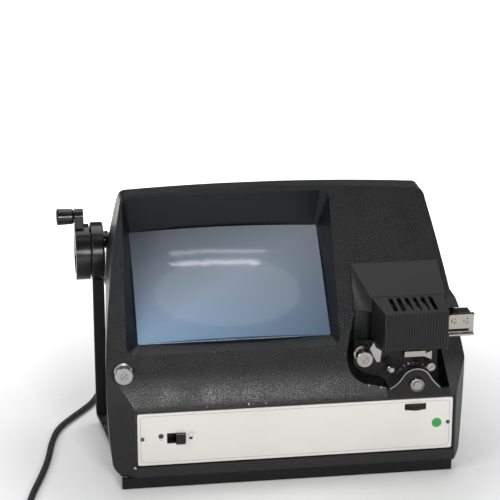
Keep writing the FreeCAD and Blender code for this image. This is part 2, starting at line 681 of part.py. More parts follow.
def front_openings():
    """The name plate's bed, the windows behind it and the left roller's scoop."""
    before, inside = s.front - s.beyond, s.front + s.front_wall + 1
    bed = block("plate_bed", (-s.plate_left - s.plate_gap, s.plate_right + s.plate_gap),
                (before, s.front + s.plate_deep),
                (s.plate_low - s.plate_gap, s.plate_high + s.plate_gap))
    rim = s.window_rim
    switch = block("switch_window", (-s.switch_slot_left - rim, -s.switch_slot_right + rim),
                   (s.front, inside), (s.switch_low - rim, s.switch_high + rim))
    wheel = block("wheel_window",
                  (s.gate_x - s.wheel_window_half, s.gate_x + s.wheel_window_half),
                  (s.front, inside), (s.focus_slot_low, s.focus_slot_high))
    scoop = rod("roller_scoop", "Y", s.scoop_radius, before, s.scoop_back, s.roller_x, s.roller_z)
    light = rod("light_hole", "Z", s.light_radius, s.well_floor - s.well_wall - 1,
                s.well_floor + 1, s.gate_x, s.film_y)
    return [bed, switch, wheel, scoop, light] + plate_screw_holes("bed_hole", s.plate_screw_shank)


def plate_screw_holes(name, radius):
    return [rod(name, "Y", radius, s.front, s.front + s.plate_deep + s.plate_screw_bite, x,
                s.plate_screw_z)
            for x in (-s.plate_screw_left, s.plate_screw_right)]


def casing():
    """One moulded form, hollowed, then parted into the front casing and the rear cover."""
    outer = casing_form("casing_outer", ZERO, ZERO, ZERO)
    inner = casing_form("casing_inner", s.wall, s.front_wall, as_size(1))
    shell = cut("casing_shell", outer, inner)
    funnel = shared("funnel_wall", screen_funnel("funnel_grown", s.funnel_wall, s.glass_lap), outer)
    bay = shared("bay_wall", bay_form("bay_grown", s.wall, s.bay_back + s.wall,
                                      s.well_floor - s.well_wall), outer)
    pad = rod("roller_pad", "Y", s.pad_radius, s.scoop_back - s.pad_thick, s.boss_seat,
              s.roller_x, s.roller_z)
    pad_inside = shared("roller_pad_inside", pad, outer)
    body = fused("casing_body", shell, funnel, bay, rail_shelf(), pad_inside)
    hood = hood_form("hood_skin", ZERO, ZERO)
    bay_hollow = bay_form("bay_hollow", ZERO, s.bay_back, s.well_floor)
    hollow = [screen_funnel("funnel_hollow", ZERO, ZERO), bay_hollow, hood] + front_openings()
    open_body = cut("casing_open", body, *hollow)
    reach, top = s.half_wide + s.beyond, s.crest_z + s.beyond
    fore = block("fore_space", (-reach, reach), (s.front - s.beyond, s.step_y), (0, top))
    aft = block("aft_space", (-reach, reach), (s.step_y, s.rear + s.beyond), (0, top))
    node("front_casing", shared("front_casing", open_body, fore))
    back = shared("rear_shell", open_body, aft)
    node("rear_cover", cut("rear_cover", back, *rear_openings()))
    node("lamp_hood", cut("lamp_hood", hood, hood_form("hood_hollow", s.hood_wall, as_size(1)),
                          bay_hollow))


def rear_openings():
    """Cooling slots in the sloping back, the cord's hole and the screw holes."""
    tools = []
    count = int(s.vent_count.value)
    low = s.shoulder_z + s.vent_rise
    for index in range(count):
        x = s.vent_pitch * (index - (count - 1) / 2)
        tools.append(block("cooling_slot", (x - s.vent_wide / 2, x + s.vent_wide / 2),
                           (s.shoulder_y - s.vent_deep, s.rear + 1), (low, low + s.vent_long)))
    tools.append(rod("cord_hole", "Y", s.relief_root, s.rear - s.wall - 1, s.rear + 1,
                     s.cord_exit_x, s.cord_exit_z))
    for x in casing_screw_places():
        tools.append(rod("cover_screw_hole", "Y", s.screw_shank, s.rear - s.wall - 1, s.rear + 1,
                         x, s.seat + s.screw_rise))
    return tools


def casing_screw_places():
    return [s.screw_pitch * step for step in (-1.5, -0.5, 0.5, 1.5)]


def casing_screws():
    """Cross-head screws that hold the rear cover to the tabs of the base."""
    screws = []
    z, end = s.seat + s.screw_rise, s.rear + s.screw_head_thick
    for x in casing_screw_places():
        head = rod("cover_screw_head", "Y", s.screw_head, s.rear, end, x, z)
        shank = rod("cover_screw_shank", "Y", s.screw_shank, s.rear - s.wall - s.tab_thick, s.rear,
                    x, z)
        screws.append(cut("cover_screw", fused("cover_screw_blank", head, shank),
                          *cross_recess("cover_screw_cross", x, z, end)))
    node("casing_screws", fused("casing_screws", *screws))


def skirt_outline(inset):
    front = s.base_front + s.skirt_inset + inset
    return [
        (-s.skirt_half + inset, front),
        (s.skirt_half - inset, front),
        (s.skirt_rear_half - inset, s.base_rear - inset),
        (-s.skirt_rear_half + inset, s.base_rear - inset),
    ]


def foot_places():
    back = s.skirt_rear_half - s.foot_inset
    front_y, rear_y = s.base_front + s.foot_inset, s.base_rear - s.foot_inset
    return [(s.skirt_half - s.foot_right_inset, front_y),
            (s.foot_left_inset - s.skirt_half, front_y), (back, rear_y), (-back, rear_y)]


def bar_shift():
    """How far the arm's foot bar leans to the left over its length."""
    return (s.post_left + s.post_right) / 2 + s.pivot_x - s.bar_aim


def bar_slot_rear():
    """The slot ends where the foot bar has left the skirt's wall behind, and a little later."""
    front = s.base_front + s.skirt_inset
    lean = (s.skirt_half - s.skirt_rear_half) / (s.base_rear - front)
    swing = bar_shift() / (s.arm_y - s.pivot_y)
    reach = (s.skirt_half - s.skirt_wall + lean * front + s.pivot_x + s.bar_half
             + swing * s.pivot_y)
    return reach / (lean + swing) + s.bar_slot_spare


def base_plate():
    """The base: a deck that closes the casing, on a skirt, with pads, bosses and screw tabs."""
    back = s.base_rear - s.deck_short
    deck = prism("deck", "XY", [
        (-s.facet_left, s.base_front),
        (s.deck_half, s.base_front),
        (s.deck_half, s.step_y - s.wall),
        (s.deck_rear_half, s.base_rear - s.rear_corner),
        (s.deck_rear_half - s.rear_corner, back),
        (-s.deck_rear_half + s.rear_corner, back),
        (-s.deck_rear_half, s.base_rear - s.rear_corner),
        (-s.deck_half, s.step_y - s.wall),
        (-s.deck_half, s.cheek_y - s.pivot_head),
    ], s.deck_bottom, s.seat)
    skirt = cut("skirt",
                prism("skirt_outer", "XY", skirt_outline(ZERO), s.foot_stand, s.deck_bottom),
                prism("skirt_inner", "XY", skirt_outline(s.skirt_wall), s.foot_stand - 1,
                      s.deck_bottom + 1))
    pads = [rod("foot_pad", "Z", s.foot_radius + s.foot_pad_rim, s.foot_stand, s.deck_bottom, x, y)
            for x, y in foot_places()]
    bosses = [rod("arm_boss", "Z", s.boss_radius, s.seat, s.seat + s.boss_height, side, s.pivot_y)
              for side in (s.pivot_x, -s.pivot_x)]
    inside = s.rear - s.wall
    tabs = [block("screw_tab", (x - s.tab_width / 2, x + s.tab_width / 2),
                  (inside - s.tab_thick, inside), (s.seat, s.seat + s.tab_height))
            for x in casing_screw_places()]
    slot = block("bar_slot", (-s.skirt_half - s.beyond, s.pivot_x + s.pivot_head + s.slot_margin),
                 (s.bar_slot_front, bar_slot_rear()), (s.bar_slot_low, s.deck_bottom))
    pins = [rod("arm_bore", "Z", s.pivot_radius, s.foot_stand - 1, s.seat + s.boss_height + 1,
                side, s.pivot_y) for side in (s.pivot_x, -s.pivot_x)]
    sockets = [rod("foot_socket", "Z", s.foot_radius, 0, s.foot_stand + s.foot_sunk, x, y)
               for x, y in foot_places()]
    bites = [rod("tab_bore", "Y", s.screw_shank, inside - s.tab_thick - 1, s.rear, x,
                 s.seat + s.screw_rise) for x in casing_screw_places()]
    whole = fused("base_whole", deck, skirt, *(pads + bosses + tabs))
    node("base_plate", cut("base_plate", whole, slot, *(pins + sockets + bites)))


def rubber_feet():
    feet = [turned("rubber_foot", "Z", [
        (0, 0), (s.foot_radius - s.foot_edge, 0), (s.foot_radius, s.foot_stand),
        (s.foot_radius, s.foot_stand + s.foot_sunk), (0, s.foot_stand + s.foot_sunk)], 0, x, y)
        for x, y in foot_places()]
    node("rubber_feet", fused("rubber_feet", *feet))


# ---------------------------------------------------------------- screen

def on_screen_plane(item):
    return tilted(item, 0, s.screen_low_y, s.screen_low_z, screen_angle())


def screen_parts():
    """The domed glass, the field lens and the clips, drawn flat and leaned back together."""
    half, high = s.screen_width / 2, screen_height()
    left, right = s.screen_x - half, s.screen_x + half
    flat = block("glass_flat", (left - s.glass_lap, right + s.glass_lap),
                 (-s.glass_lap, high + s.glass_lap), (-s.glass_thick, 0))
    gap = s.dome_gap
    window = block("glass_window", (left + gap, right - gap), (gap, high - gap), (-1, s.glass_dome))
    ball = document.addObject("Part::Sphere", "glass_ball")
    bind(ball, "Radius", s.dome_radius)
    move(ball, s.screen_x, high / 2, s.glass_dome - s.dome_radius)
    dome = shared("glass_dome", window, ball)
    node("screen_glass", on_screen_plane(fused("screen_glass", flat, dome)))
    field = block("field_blank", (left, right), (0, high),
                  (-s.glass_thick - s.field_thick, -s.glass_thick))
    belly = document.addObject("Part::Sphere", "field_ball")
    bind(belly, "Radius", s.field_radius)
    move(belly, s.screen_x, high / 2, s.field_radius - s.glass_thick - s.field_thick)
    node("field_lens", on_screen_plane(shared("field_lens", field, belly)))
    clips = []
    for x in (left + s.clip_inset, right - s.clip_inset):
        for low in (-s.clip_gap - s.clip_long, high + s.clip_gap):
            clips.append(block("clip", (x - s.clip_wide / 2, x + s.clip_wide / 2),
                               (low, low + s.clip_long),
                               (-s.glass_thick - s.clip_thick, -s.glass_thick)))
    node("screen_clips", on_screen_plane(fused("screen_clips", *clips)))


# ---------------------------------------------------------------- front plate and switch

def name_plate():
    """A thin satin plate with slots for the switch and the focus wheel."""
    low, high = s.plate_low, s.plate_high
    left, right, corner = -s.plate_left, s.plate_right, s.plate_corner
    rear = s.front + s.plate_deep
    sheet_metal = prism("plate_sheet", "XZ", rounded((left, right), (left, right), low, high, corner),
                        rear - s.plate_sheet_thick, rear)
    switch = block("plate_switch_slot", (-s.switch_slot_left, -s.switch_slot_right),
                   (s.front, rear + 1), (s.switch_low, s.switch_high))
    focus = block("plate_focus_slot", (s.gate_x - s.focus_slot_half, s.gate_x + s.focus_slot_half),
                  (s.front, rear + 1), (s.focus_slot_low, s.focus_slot_high))
    marker = rod("marker_bed", "Y", s.marker_radius, s.front, rear - s.plate_sheet_thick
                 + s.marker_thick, s.marker_x, s.marker_z)
    node("name_plate", cut("name_plate", sheet_metal, switch, focus, marker,
                           *plate_screw_holes("plate_hole", s.plate_screw_shank)))
    disc = rod("marker_disc", "Y", s.marker_radius, rear - s.plate_sheet_thick,
               rear - s.plate_sheet_thick + s.marker_thick, s.marker_x, s.marker_z)
    node("green_marker_disc", disc)


def name_plate_screws():
    face = s.front + s.plate_deep - s.plate_sheet_thick
    screws = []
    end = face - s.plate_screw_thick
    reach, half = s.plate_screw_radius * 2, s.plate_screw_slot / 2
    for x in (-s.plate_screw_left, s.plate_screw_right):
        head = rod("plate_screw_head", "Y", s.plate_screw_radius, end, face, x, s.plate_screw_z)
        shank = rod("plate_screw_shank", "Y", s.plate_screw_shank, face,
                    s.front + s.plate_deep + s.plate_screw_bite, x, s.plate_screw_z)
        slot = block("plate_screw_slot", (x - half, x + half), (end - 1, face - half),
                     (s.plate_screw_z - reach, s.plate_screw_z + reach))
        screws.append(cut("plate_screw", fused("plate_screw_blank", head, shank), slot))
    node("name_plate_screws", fused("name_plate_screws", *screws))


def slide_switch():
    """The switch behind the plate: a body with a channel, and the knob that slides in it."""
    back_face = s.front + s.front_wall
    case = block("switch_case", (-s.body_left, -s.body_right), (back_face, s.body_rear),
                 (s.body_low, s.body_high))
    low, high = s.switch_low + s.knob_gap, s.switch_high - s.knob_gap
    gap = s.channel_gap
    channel = block("switch_channel", (-s.knob_left - s.knob_travel - gap, -s.knob_right + gap),
                    (back_face - 1, s.tongue_rear + gap), (low - s.knob_gap, high + s.knob_gap))
    node("switch_body", cut("switch_body", case, channel))
    grip = block("knob_grip", (-s.knob_left, -s.knob_right), (s.knob_front, s.tongue_rear),
                 (low, high))
    grooves = []
    for index in range(4):
        start = s.groove_first + s.groove_pitch * index - s.knob_left
        grooves.append(block("knob_groove", (start, start + s.groove_wide),
                             (s.knob_front - 1, s.knob_front + s.groove_deep), (low - 1, high + 1)))
    node("switch_knob", cut("switch_knob", grip, *grooves))


# ---------------------------------------------------------------- lamp

def cover_form(name, inset, open_back, open_low):
    """The lamp cover's taper: wide where it meets the hood, narrower in front."""
    back = document.addObject("Sketcher::SketchObject", name + "_back")
    rear = s.hood_front_y - s.cover_gap + open_back
    move(back, 0, rear, 0, PLANES["XZ"][0])
    outline(back, [
        (s.cover_left + inset, s.cover_low - open_low), (s.cover_right - inset, s.cover_low - open_low),
        (s.cover_right - inset, s.cover_top - inset), (s.cover_left + inset, s.cover_top - inset)])
    front = document.addObject("Sketcher::SketchObject", name + "_front")
    move(front, 0, s.cover_front + inset, 0, PLANES["XZ"][0])
    outline(front, [
        (s.cover_front_left + inset, s.cover_low - open_low),
        (s.cover_front_right - inset, s.cover_low - open_low),
        (s.cover_front_right - inset, s.cover_front_top - inset),
        (s.cover_front_left + inset, s.cover_front_top - inset)])
    return lofted(name, back, front)


def lamp_cover():
    """The ribbed cover over the lamp, open behind and below, with slots in its roof."""
    skin = cover_form("cover_skin", ZERO, ZERO, ZERO)
    hollow = cover_form("cover_hollow", s.cover_wall, as_size(1), as_size(1))
    width = s.cover_front_right - s.cover_front_left
    count = int(s.rib_count.value)
    pitch = width / count
    ribs = [block("cover_rib",
                  (s.cover_front_left + pitch * (index + 0.5) - s.rib_wide / 2,
                   s.cover_front_left + pitch * (index + 0.5) + s.rib_wide / 2),
                  (s.cover_front - s.rib_deep, s.cover_front + 0.5),
                  (s.cover_low, s.cover_front_top - 0.6)) for index in range(count)]
    slots = []
    for index in range(int(s.slot_count.value)):
        x = s.slot_mid_x + s.slot_pitch * (index - (int(s.slot_count.value) - 1) / 2)
        slots.append(block("cover_slot", (x - s.slot_wide / 2, x + s.slot_wide / 2),
                           (s.slot_front, s.slot_rear), (s.cover_top - 8, s.cover_top + 3)))
    ribbed = fused("cover_ribbed", skin, *ribs)
    gap = s.cover_gap * 1.4
    face = prism("cover_face_gap", "YZ", [
        (s.cheek_y - gap, s.cheek_z), (s.rear, s.cheek_z), (s.rear, s.crest_z),
        (s.brow_y - gap, s.crest_z)], s.bay_right_high - 1, s.half_wide)
    node("lamp_cover", cut("lamp_cover", ribbed, hollow, face, *slots))


def lamp():
    """Bracket, ceramic socket, bulb and condenser above the film window."""
    left, right = s.gate_x - s.bracket_half, s.gate_x + s.bracket_half
    arm = block("bracket_arm", (left, right), (s.film_y - s.bracket_reach, s.bay_back),
                (s.socket_top, s.socket_top + s.bracket_thick))
    leg = block("bracket_leg", (left, right), (s.bay_back - s.bracket_thick, s.bay_back),
                (s.cover_low - s.leg_drop, s.socket_top + s.bracket_thick))
    node("lamp_bracket", fused("lamp_bracket", arm, leg))
    node("lamp_socket", turned("lamp_socket", "Z", [
        (s.bulb_neck, 0), (s.socket_radius - 1, 0), (s.socket_radius, 1),
        (s.socket_radius, s.socket_top - s.socket_low), (0, s.socket_top - s.socket_low),
        (0, 5), (s.bulb_neck, 5)], s.socket_low, s.gate_x, s.film_y))
    rise = s.socket_low - s.bulb_low
    node("lamp_bulb", turned("lamp_bulb", "Z", [
        (0, 0), (s.bulb_radius, s.bulb_radius, s.bulb_radius), (s.bulb_radius, rise - 5),
        (s.bulb_neck, rise - 1), (s.bulb_neck, rise + 5), (0, rise + 5)],
        s.bulb_low, s.gate_x, s.film_y))
    node("condenser_lens", turned("condenser_lens", "Z", [
        (0, 0), (s.condenser_radius, 0), (s.condenser_radius, s.condenser_rim),
        (0, s.condenser_rim + sagitta(s.condenser_curve, s.condenser_radius), s.condenser_curve)],
        s.aperture_low + s.aperture_thick, s.gate_x, s.film_y))


# ---------------------------------------------------------------- film gate

def gate_chassis():
    """The upright plate that carries the gate, on two spacers against the bay's back wall."""
    rear = s.chassis_front + s.chassis_thick
    plate = block("chassis_plate", (s.chassis_left, s.chassis_right),
                  (s.chassis_front, rear), (s.chassis_low, s.chassis_top))
    half = s.spacer_wide / 2
    spacers = [block("chassis_spacer", (x - half, x + half), (rear, s.bay_back),
                     (s.chassis_low + s.spacer_low, s.chassis_low + s.spacer_high))
               for x in (s.chassis_left + s.spacer_left, s.chassis_right - s.spacer_right)]
    room = bay_scoop("chassis_room", -s.bay_gap, s.bay_back)
    beside = block("chassis_beside", (0, s.cover_left + s.cover_wall + s.rib_pitch_gap),
                   (s.front, s.bay_back), (s.cover_low - 1, s.chassis_top + 1))
    bore = rod("chassis_bore", "Y", s.stub_radius + s.run_gap, s.chassis_front - 1,
               rear + 1, s.gate_x, s.gate_z)
    behind = rod("chassis_clear", "Y", s.stub_radius + 1, rear, s.bay_back, s.gate_x, s.gate_z)
    whole = shared("chassis_whole", fused("chassis_blank", plate, *spacers), room)
    node("gate_chassis", cut("gate_chassis", whole, beside, bore, behind))


def gate_curve(depth):
    """The guide's path from the front, left to right: a round top between two swept tails."""
    centre = Vector(s.gate_x.value, 0, s.gate_z.value)
    radius, spread = s.saddle_radius.value, s.saddle_spread.value

    def spot(middle, reach, degrees):
        turn = math.radians(degrees)
        return middle + Vector(math.cos(turn), 0, math.sin(turn)) * reach

    def arc(middle, reach, first, last):
        return Part.Arc(spot(middle, reach, first), spot(middle, reach, (first + last) / 2),
                        spot(middle, reach, last)).toShape()
    left_reach, right_reach = s.left_tail_radius.value, s.right_tail_radius.value
    left = spot(centre, radius + left_reach, 90 + spread)
    right = spot(centre, radius + right_reach, 90 - spread)
    left_join, right_join = spread - 90, 270 - spread
    return [
        arc(left, left_reach + depth, left_join - s.left_tail_turn.value, left_join),
        arc(centre, radius - depth, 90 + spread, 90 - spread),
        arc(right, right_reach + depth, right_join, right_join + s.right_tail_turn.value),
    ]


def curve_ends(edges):
    return edges[0].Vertexes[0].Point, edges[-1].Vertexes[-1].Point


def pushed(name, edges, front, rear):
    """A closed run of edges on an upright plane, extruded from front to rear."""
    face = Part.Face(Part.Wire(Part.sortEdges(edges)[0]))
    solid = solid_of(name, face.extrude(Vector(0, (rear - front).value, 0)))
    return move(solid, 0, front, 0)


def gate_front_plate():
    """The plate in front of the sprocket: a bell that the film guide lies on, with a bearing."""
    curve = gate_curve(s.saddle_thick.value)
    start, end = curve_ends(curve)
    floor, left, right = s.bay_floor.value, s.gate_left.value, s.bay_right_low.value
    slant = right - s.plate_slant.value
    corners = [end, Vector(slant, 0, end.z), Vector(right, 0, floor), Vector(left, 0, floor),
               Vector(left, 0, start.z), start]
    edges = [Part.LineSegment(a, b).toShape() for a, b in zip(corners, corners[1:])]
    body = pushed("bell", curve + edges, s.front, s.front + s.plate_thick)
    bore = rod("bell_bore", "Y", s.stub_radius + s.run_gap, s.front - 1,
               s.front + s.plate_thick + 1, s.gate_x, s.gate_z)
    node("gate_front_plate", cut("gate_front_plate", body, bore))


def sprocket():
    """The toothed rear disc with its stub shaft, the glass prism, and the capped front flange."""
    rear = s.film_y + s.film_half
    step = s.sprocket_rim + s.hub_long
    end = s.chassis_front + s.chassis_thick - rear
    disc = turned("sprocket_disc", "Y", [
        (0, 0), (s.sprocket_radius, 0), (s.sprocket_radius, s.sprocket_rim),
        (s.hub_radius, s.sprocket_rim), (s.hub_radius, step),
        (s.stub_radius, step), (s.stub_radius, end), (0, end)], rear, s.gate_x, s.gate_z)
    count = int(s.sprocket_teeth.value)
    radius, half = s.sprocket_radius.value, s.tooth_wide.value / 2
    root = s.tooth_high.value / 2
    tooth = Part.makeBox(s.tooth_high.value + root, s.tooth_thick.value, 2 * half,
                         Vector(radius - root, 0, -half))
    teeth = []
    for index in range(count):
        turn = tooth.copy()
        turn.rotate(Vector(0, 0, 0), Vector(0, 1, 0), 360.0 * index / count)
        teeth.append(turn)
    ring = solid_of("sprocket_teeth_ring", Part.makeCompound(teeth))
    move(ring, s.gate_x, rear, s.gate_z)
    node("film_sprocket", fused("film_sprocket", disc, ring))
    front = s.film_y - s.film_half
    faces = int(s.prism_faces.value)
    corner = s.prism_inradius.value / math.cos(math.pi / faces)
    ring_points = [Vector(corner * math.cos(2 * math.pi * (index + 0.5) / faces), 0,
                          corner * math.sin(2 * math.pi * (index + 0.5) / faces))
                   for index in range(faces)]
    glass = Part.Face(Part.makePolygon(ring_points + ring_points[:1])).extrude(
        Vector(0, 2 * s.film_half.value, 0))
    prism_glass = solid_of("rotating_prism", glass)
    node("rotating_prism", move(prism_glass, s.gate_x, front, s.gate_z))
    length = front - s.flange_thick - (s.front - s.cap_gap)
    reach = s.cap_thick + length
    node("sprocket_cap", turned("sprocket_cap", "Y", [
        (0, 0), (s.cap_face, 0), (s.cap_face + s.cap_edge / 2, s.cap_dish),
        (s.cap_radius - s.cap_lip, s.cap_dish), (s.cap_radius - s.cap_edge, 0),
        (s.cap_radius, s.cap_edge, s.cap_edge), (s.cap_radius, s.cap_thick),
        (s.stub_radius, s.cap_thick), (s.stub_radius, reach), (s.flange_radius, reach),
        (s.flange_radius, reach + s.flange_thick), (0, reach + s.flange_thick)],
        s.front - s.cap_gap - s.cap_thick, s.gate_x, s.gate_z))


def film_saddle():
    """The bent sheet that guides the film, with a slot for the teeth and a window for light."""
    over, under = gate_curve(0.0), gate_curve(s.saddle_thick.value)
    ends = [Part.LineSegment(a, b).toShape() for a, b in zip(curve_ends(over), curve_ends(under))]
    front = s.front + s.saddle_gap
    sheet_metal = pushed("saddle_sheet", over + under + ends, front, s.chassis_front)
    reach = s.sprocket_radius + s.tooth_high + s.saddle_gap
    rear = s.film_y + s.film_half
    slot = rod("saddle_slot", "Y", reach, rear - s.saddle_gap, rear + s.sprocket_rim + s.saddle_gap,
               s.gate_x, s.gate_z)
    window = block("saddle_window", (s.gate_x - s.window_half, s.gate_x + s.window_half),
                   (s.film_y - s.window_deep, s.film_y + s.window_deep),
                   (s.gate_z, s.gate_z + reach))
    node("film_saddle", cut("film_saddle", sheet_metal, slot, window))


def aperture_plate():
    """The plate under the lamp with the film window, a front lip and a small side fin."""
    left, right = s.gate_x - s.aperture_left, s.gate_x + s.aperture_right
    top = s.aperture_low + s.aperture_thick
    inner = s.aperture_front + s.aperture_lip
    plate = block("aperture_sheet", (left, right), (s.aperture_front, s.chassis_front),
                  (s.aperture_low, top))
    lip = block("aperture_lip", (left, right), (s.aperture_front, inner),
                (s.aperture_low, s.aperture_low + s.aperture_high))
    fin = prism("aperture_fin", "XZ", [
        (right - s.aperture_lip, s.aperture_low), (right + s.fin_reach, s.aperture_low - s.fin_low),
        (right + s.fin_reach, s.aperture_low + s.aperture_high), (right - s.aperture_lip, top)],
        s.aperture_front, inner)
    hole = block("aperture_hole", (s.gate_x - s.window_half, s.gate_x + s.window_half),
                 (s.film_y - s.window_deep, s.film_y + s.window_deep),
                 (s.aperture_low - 1, top + 1))
    node("aperture_plate", cut("aperture_plate", fused("aperture_whole", plate, lip, fin), hole))


def light_shield():
    """The wing that keeps stray light off the operator: a front face on a strip to the chassis."""
    face = prism("wing_face", "XZ", [
        (s.wing_low_x, s.wing_low_z), (s.wing_low_x + s.wing_foot, s.wing_low_z),
        (s.wing_right_x, s.wing_right_z),
        (s.cover_left - s.wing_clear, s.cover_low - s.wing_clear), (s.wing_top_x, s.wing_top_z),
        (s.wing_left_x, s.wing_left_z)], s.wing_front, s.wing_front + s.wing_thick)
    strip = prism("wing_strip", "XZ", [
        (s.wing_low_x, s.wing_low_z), (s.wing_low_x + s.wing_thick, s.wing_low_z),
        (s.wing_left_x + s.wing_thick, s.wing_left_z), (s.wing_left_x, s.wing_left_z)],
        s.wing_front, s.chassis_front)
    node("light_shield", fused("light_shield", face, strip))


def grooved_roller(name, radius, waist, rear, front, x, z):
    """A flanged guide roller with a recess for its screw; the film runs on the waist."""
    long = as_size(rear) - front
    bore, room = s.post_radius + s.run_gap, s.head_radius + s.head_gap
    deep, edge = s.head_sunk + s.head_thick + s.head_gap, s.flange_long + s.groove_slant
    return turned(name, "Y", [
        (bore, deep), (room, deep), (room, 0), (radius - s.flange_chamfer, 0),
        (radius, s.flange_chamfer), (radius, s.flange_long), (waist, edge), (waist, long - edge),
        (radius, long - s.flange_long), (radius, long), (bore, long)], front, x, z)


def slotted_head(name, radius, thick, front, x, z):
    """A screw head with its front face at front and one slanting slot across it."""
    head = rod(name + "_blank", "Y", radius, front, front + thick, x, z)
    long, wide, deep = 2 * radius.value, s.head_slot.value, s.head_bite.value
    bar = Part.makeBox(long, 2 * deep, wide, Vector(-long / 2, -deep, -wide / 2))
    slot = move(solid_of(name + "_slot", bar), x, front, z,
                Rotation(Vector(0, 1, 0), -s.head_turn.value))
    return cut(name, head, slot)


def guide_rollers():
    front = s.roller_front
    node("left_guide_roller", grooved_roller(
        "left_guide_roller", s.roller_radius, s.roller_waist, s.roller_rear, front,
        s.roller_x, s.roller_z))
    post = front + s.head_sunk + s.head_thick
    node("left_roller_post", rod("left_roller_post", "Y", s.post_radius, post,
                                 s.scoop_back, s.roller_x, s.roller_z))
    node("right_guide_roller", grooved_roller(
        "right_guide_roller", s.right_radius, s.right_waist, s.right_rear, front,
        s.right_roller_x, s.right_roller_z))
    node("right_roller_post", rod("right_roller_post", "Y", s.post_radius, post,
                                  s.chassis_front, s.right_roller_x, s.right_roller_z))
    heads = [slotted_head("roller_screw", s.head_radius, s.head_thick, front + s.head_sunk, x, z)
             for x, z in ((s.roller_x, s.roller_z), (s.right_roller_x, s.right_roller_z))]
    long = s.small_rear - s.small_front
    pin_bore = s.small_pin + s.run_gap
    node("gate_roller", turned("gate_roller", "Y", [
        (pin_bore, s.small_round * 0.75), (s.small_radius - s.small_round, 0),
        (s.small_radius, s.small_round), (s.small_radius, long), (pin_bore, long)],
        s.small_front, s.small_x, s.small_z))
    end = s.chassis_front - s.small_front + 1
    node("gate_roller_pin", turned("gate_roller_pin", "Y", [
        (0, 0), (s.small_head, 0), (s.small_head, s.small_head_thick),
        (s.small_pin, s.small_head_thick), (s.small_pin, end), (0, end)],
        s.small_front - 1, s.small_x, s.small_z))
    head = slotted_head("gate_screw_head", s.gate_screw_radius, s.gate_screw_thick,
                        s.gate_screw_front, s.gate_screw_x, s.gate_screw_z)
    shank = rod("gate_screw_shank", "Y", s.gate_screw_shank,
                s.gate_screw_front + s.gate_screw_thick, s.chassis_front,
                s.gate_screw_x, s.gate_screw_z)
    node("slotted_screws", fused("slotted_screws", head, shank, *heads))


# ---------------------------------------------------------------- optics inside

def focus_and_lens():
    """The knurled wheel turns on the lens tube, which slides up and down in its mount."""
    node("focus_wheel", knurled_wheel())
    node("lens_tube", turned("lens_tube", "Z", [
        (s.tube_bore, 0), (s.tube_radius, 0), (s.tube_radius, s.tube_high - s.tube_low),
        (s.tube_bore, s.tube_high - s.tube_low)], s.tube_low, s.gate_x, s.film_y))
    thick, cap = s.lens_thick, sagitta(s.lens_curve, s.tube_bore)
    node("projection_lens", turned("projection_lens", "Z", [
        (0, 0), (s.tube_bore, cap, s.lens_curve), (s.tube_bore, thick - cap),
        (0, thick, s.lens_curve)], s.lens_low, s.gate_x, s.film_y))
    half = s.mount_leg_out
    across, deep = (s.gate_x - half, s.gate_x + half), (s.film_y - s.mount_near,
                                                        s.film_y + s.mount_far)
    roof = block("mount_roof", across, deep, (s.mount_top - s.mount_plate, s.mount_top))
    floor = block("mount_floor", across, deep, (s.mount_low, s.mount_low + s.mount_floor))
    legs = [block("mount_leg", (s.gate_x + a, s.gate_x + b), deep, (s.mount_low, s.mount_top))
            for a, b in ((-s.mount_leg_out, -s.mount_leg_in), (s.mount_leg_in, s.mount_leg_out))]
    bore = rod("mount_bore", "Z", s.tube_radius + s.run_gap, s.mount_low - 1,
               s.mount_top + 1, s.gate_x, s.film_y)
    node("lens_mount", cut("lens_mount", fused("mount_whole", roof, floor, *legs), bore))


def knurled_wheel():
    """A ring with a rim of fine flutes, cut by a loop."""
    high = s.wheel_high.value - s.wheel_low.value
    radius = s.wheel_radius.value
    ring = Part.makeCylinder(radius, high).cut(
        Part.makeCylinder(s.tube_radius.value + s.run_gap.value, high))
    count = int(s.flute_count.value)
    flutes = []
    for index in range(count):
        turn = 2 * math.pi * index / count
        spot = Vector(radius * math.cos(turn), radius * math.sin(turn), 0)
        flutes.append(Part.makeCylinder(s.flute_radius.value, high, spot))
    wheel = solid_of("focus_wheel", ring.cut(Part.makeCompound(flutes)))
    return move(wheel, s.gate_x, s.film_y, s.wheel_low)


def facing(name, length, width, thick, centre, normal, level):
    """A flat plate whose front face is centred on a point and looks along a normal."""
    plate = Part.makeBox(length, width, thick, Vector(-length / 2, -width / 2, -thick))
    across = level - normal * level.dot(normal)
    turn = Rotation(across.normalize(), Vector(), normal, "ZXY")
    return move(solid_of(name, plate), centre.x, centre.y, centre.z, turn)


def mirrors():
    """Two flat mirrors fold the light from the lens to the back of the screen."""
    lens = Vector(s.gate_x.value, s.film_y.value + s.mirror_shift.value, s.first_mirror_z.value)
    main = Vector(s.main_mirror_x.value, s.main_mirror_y.value, s.main_mirror_z.value)
    half = (screen_height() / 2).value / screen_height().value
    screen = Vector(s.screen_x.value, s.screen_low_y.value + half * s.screen_run.value,
                    s.screen_low_z.value + half * s.screen_rise.value)
    toward_main = (main - lens).normalize()
    toward_screen = (screen - main).normalize()
    first_normal = (toward_main - Vector(0, 0, -1)).normalize()
    main_normal = (toward_screen - toward_main).normalize()
    thick = s.mirror_thick.value
    node("first_mirror", facing("first_mirror", s.first_mirror_long.value,
                                s.first_mirror_wide.value, thick, lens, first_normal,
                                Vector(1, 0, 0)))
    node("main_mirror", facing("main_mirror", s.main_mirror_long.value, s.main_mirror_high.value,
                               thick, main, main_normal, Vector(1, 0.7, 0)))
    stands = [
        mirror_stand("first_stand", lens, first_normal, s.first_stand_half, s.first_stand_near,
                     s.first_stand_far),
        mirror_stand("main_stand", main, main_normal, s.main_stand_half, s.main_stand_near,
                     s.main_stand_far)]
    node("mirror_stands", fused("mirror_stands", *stands))


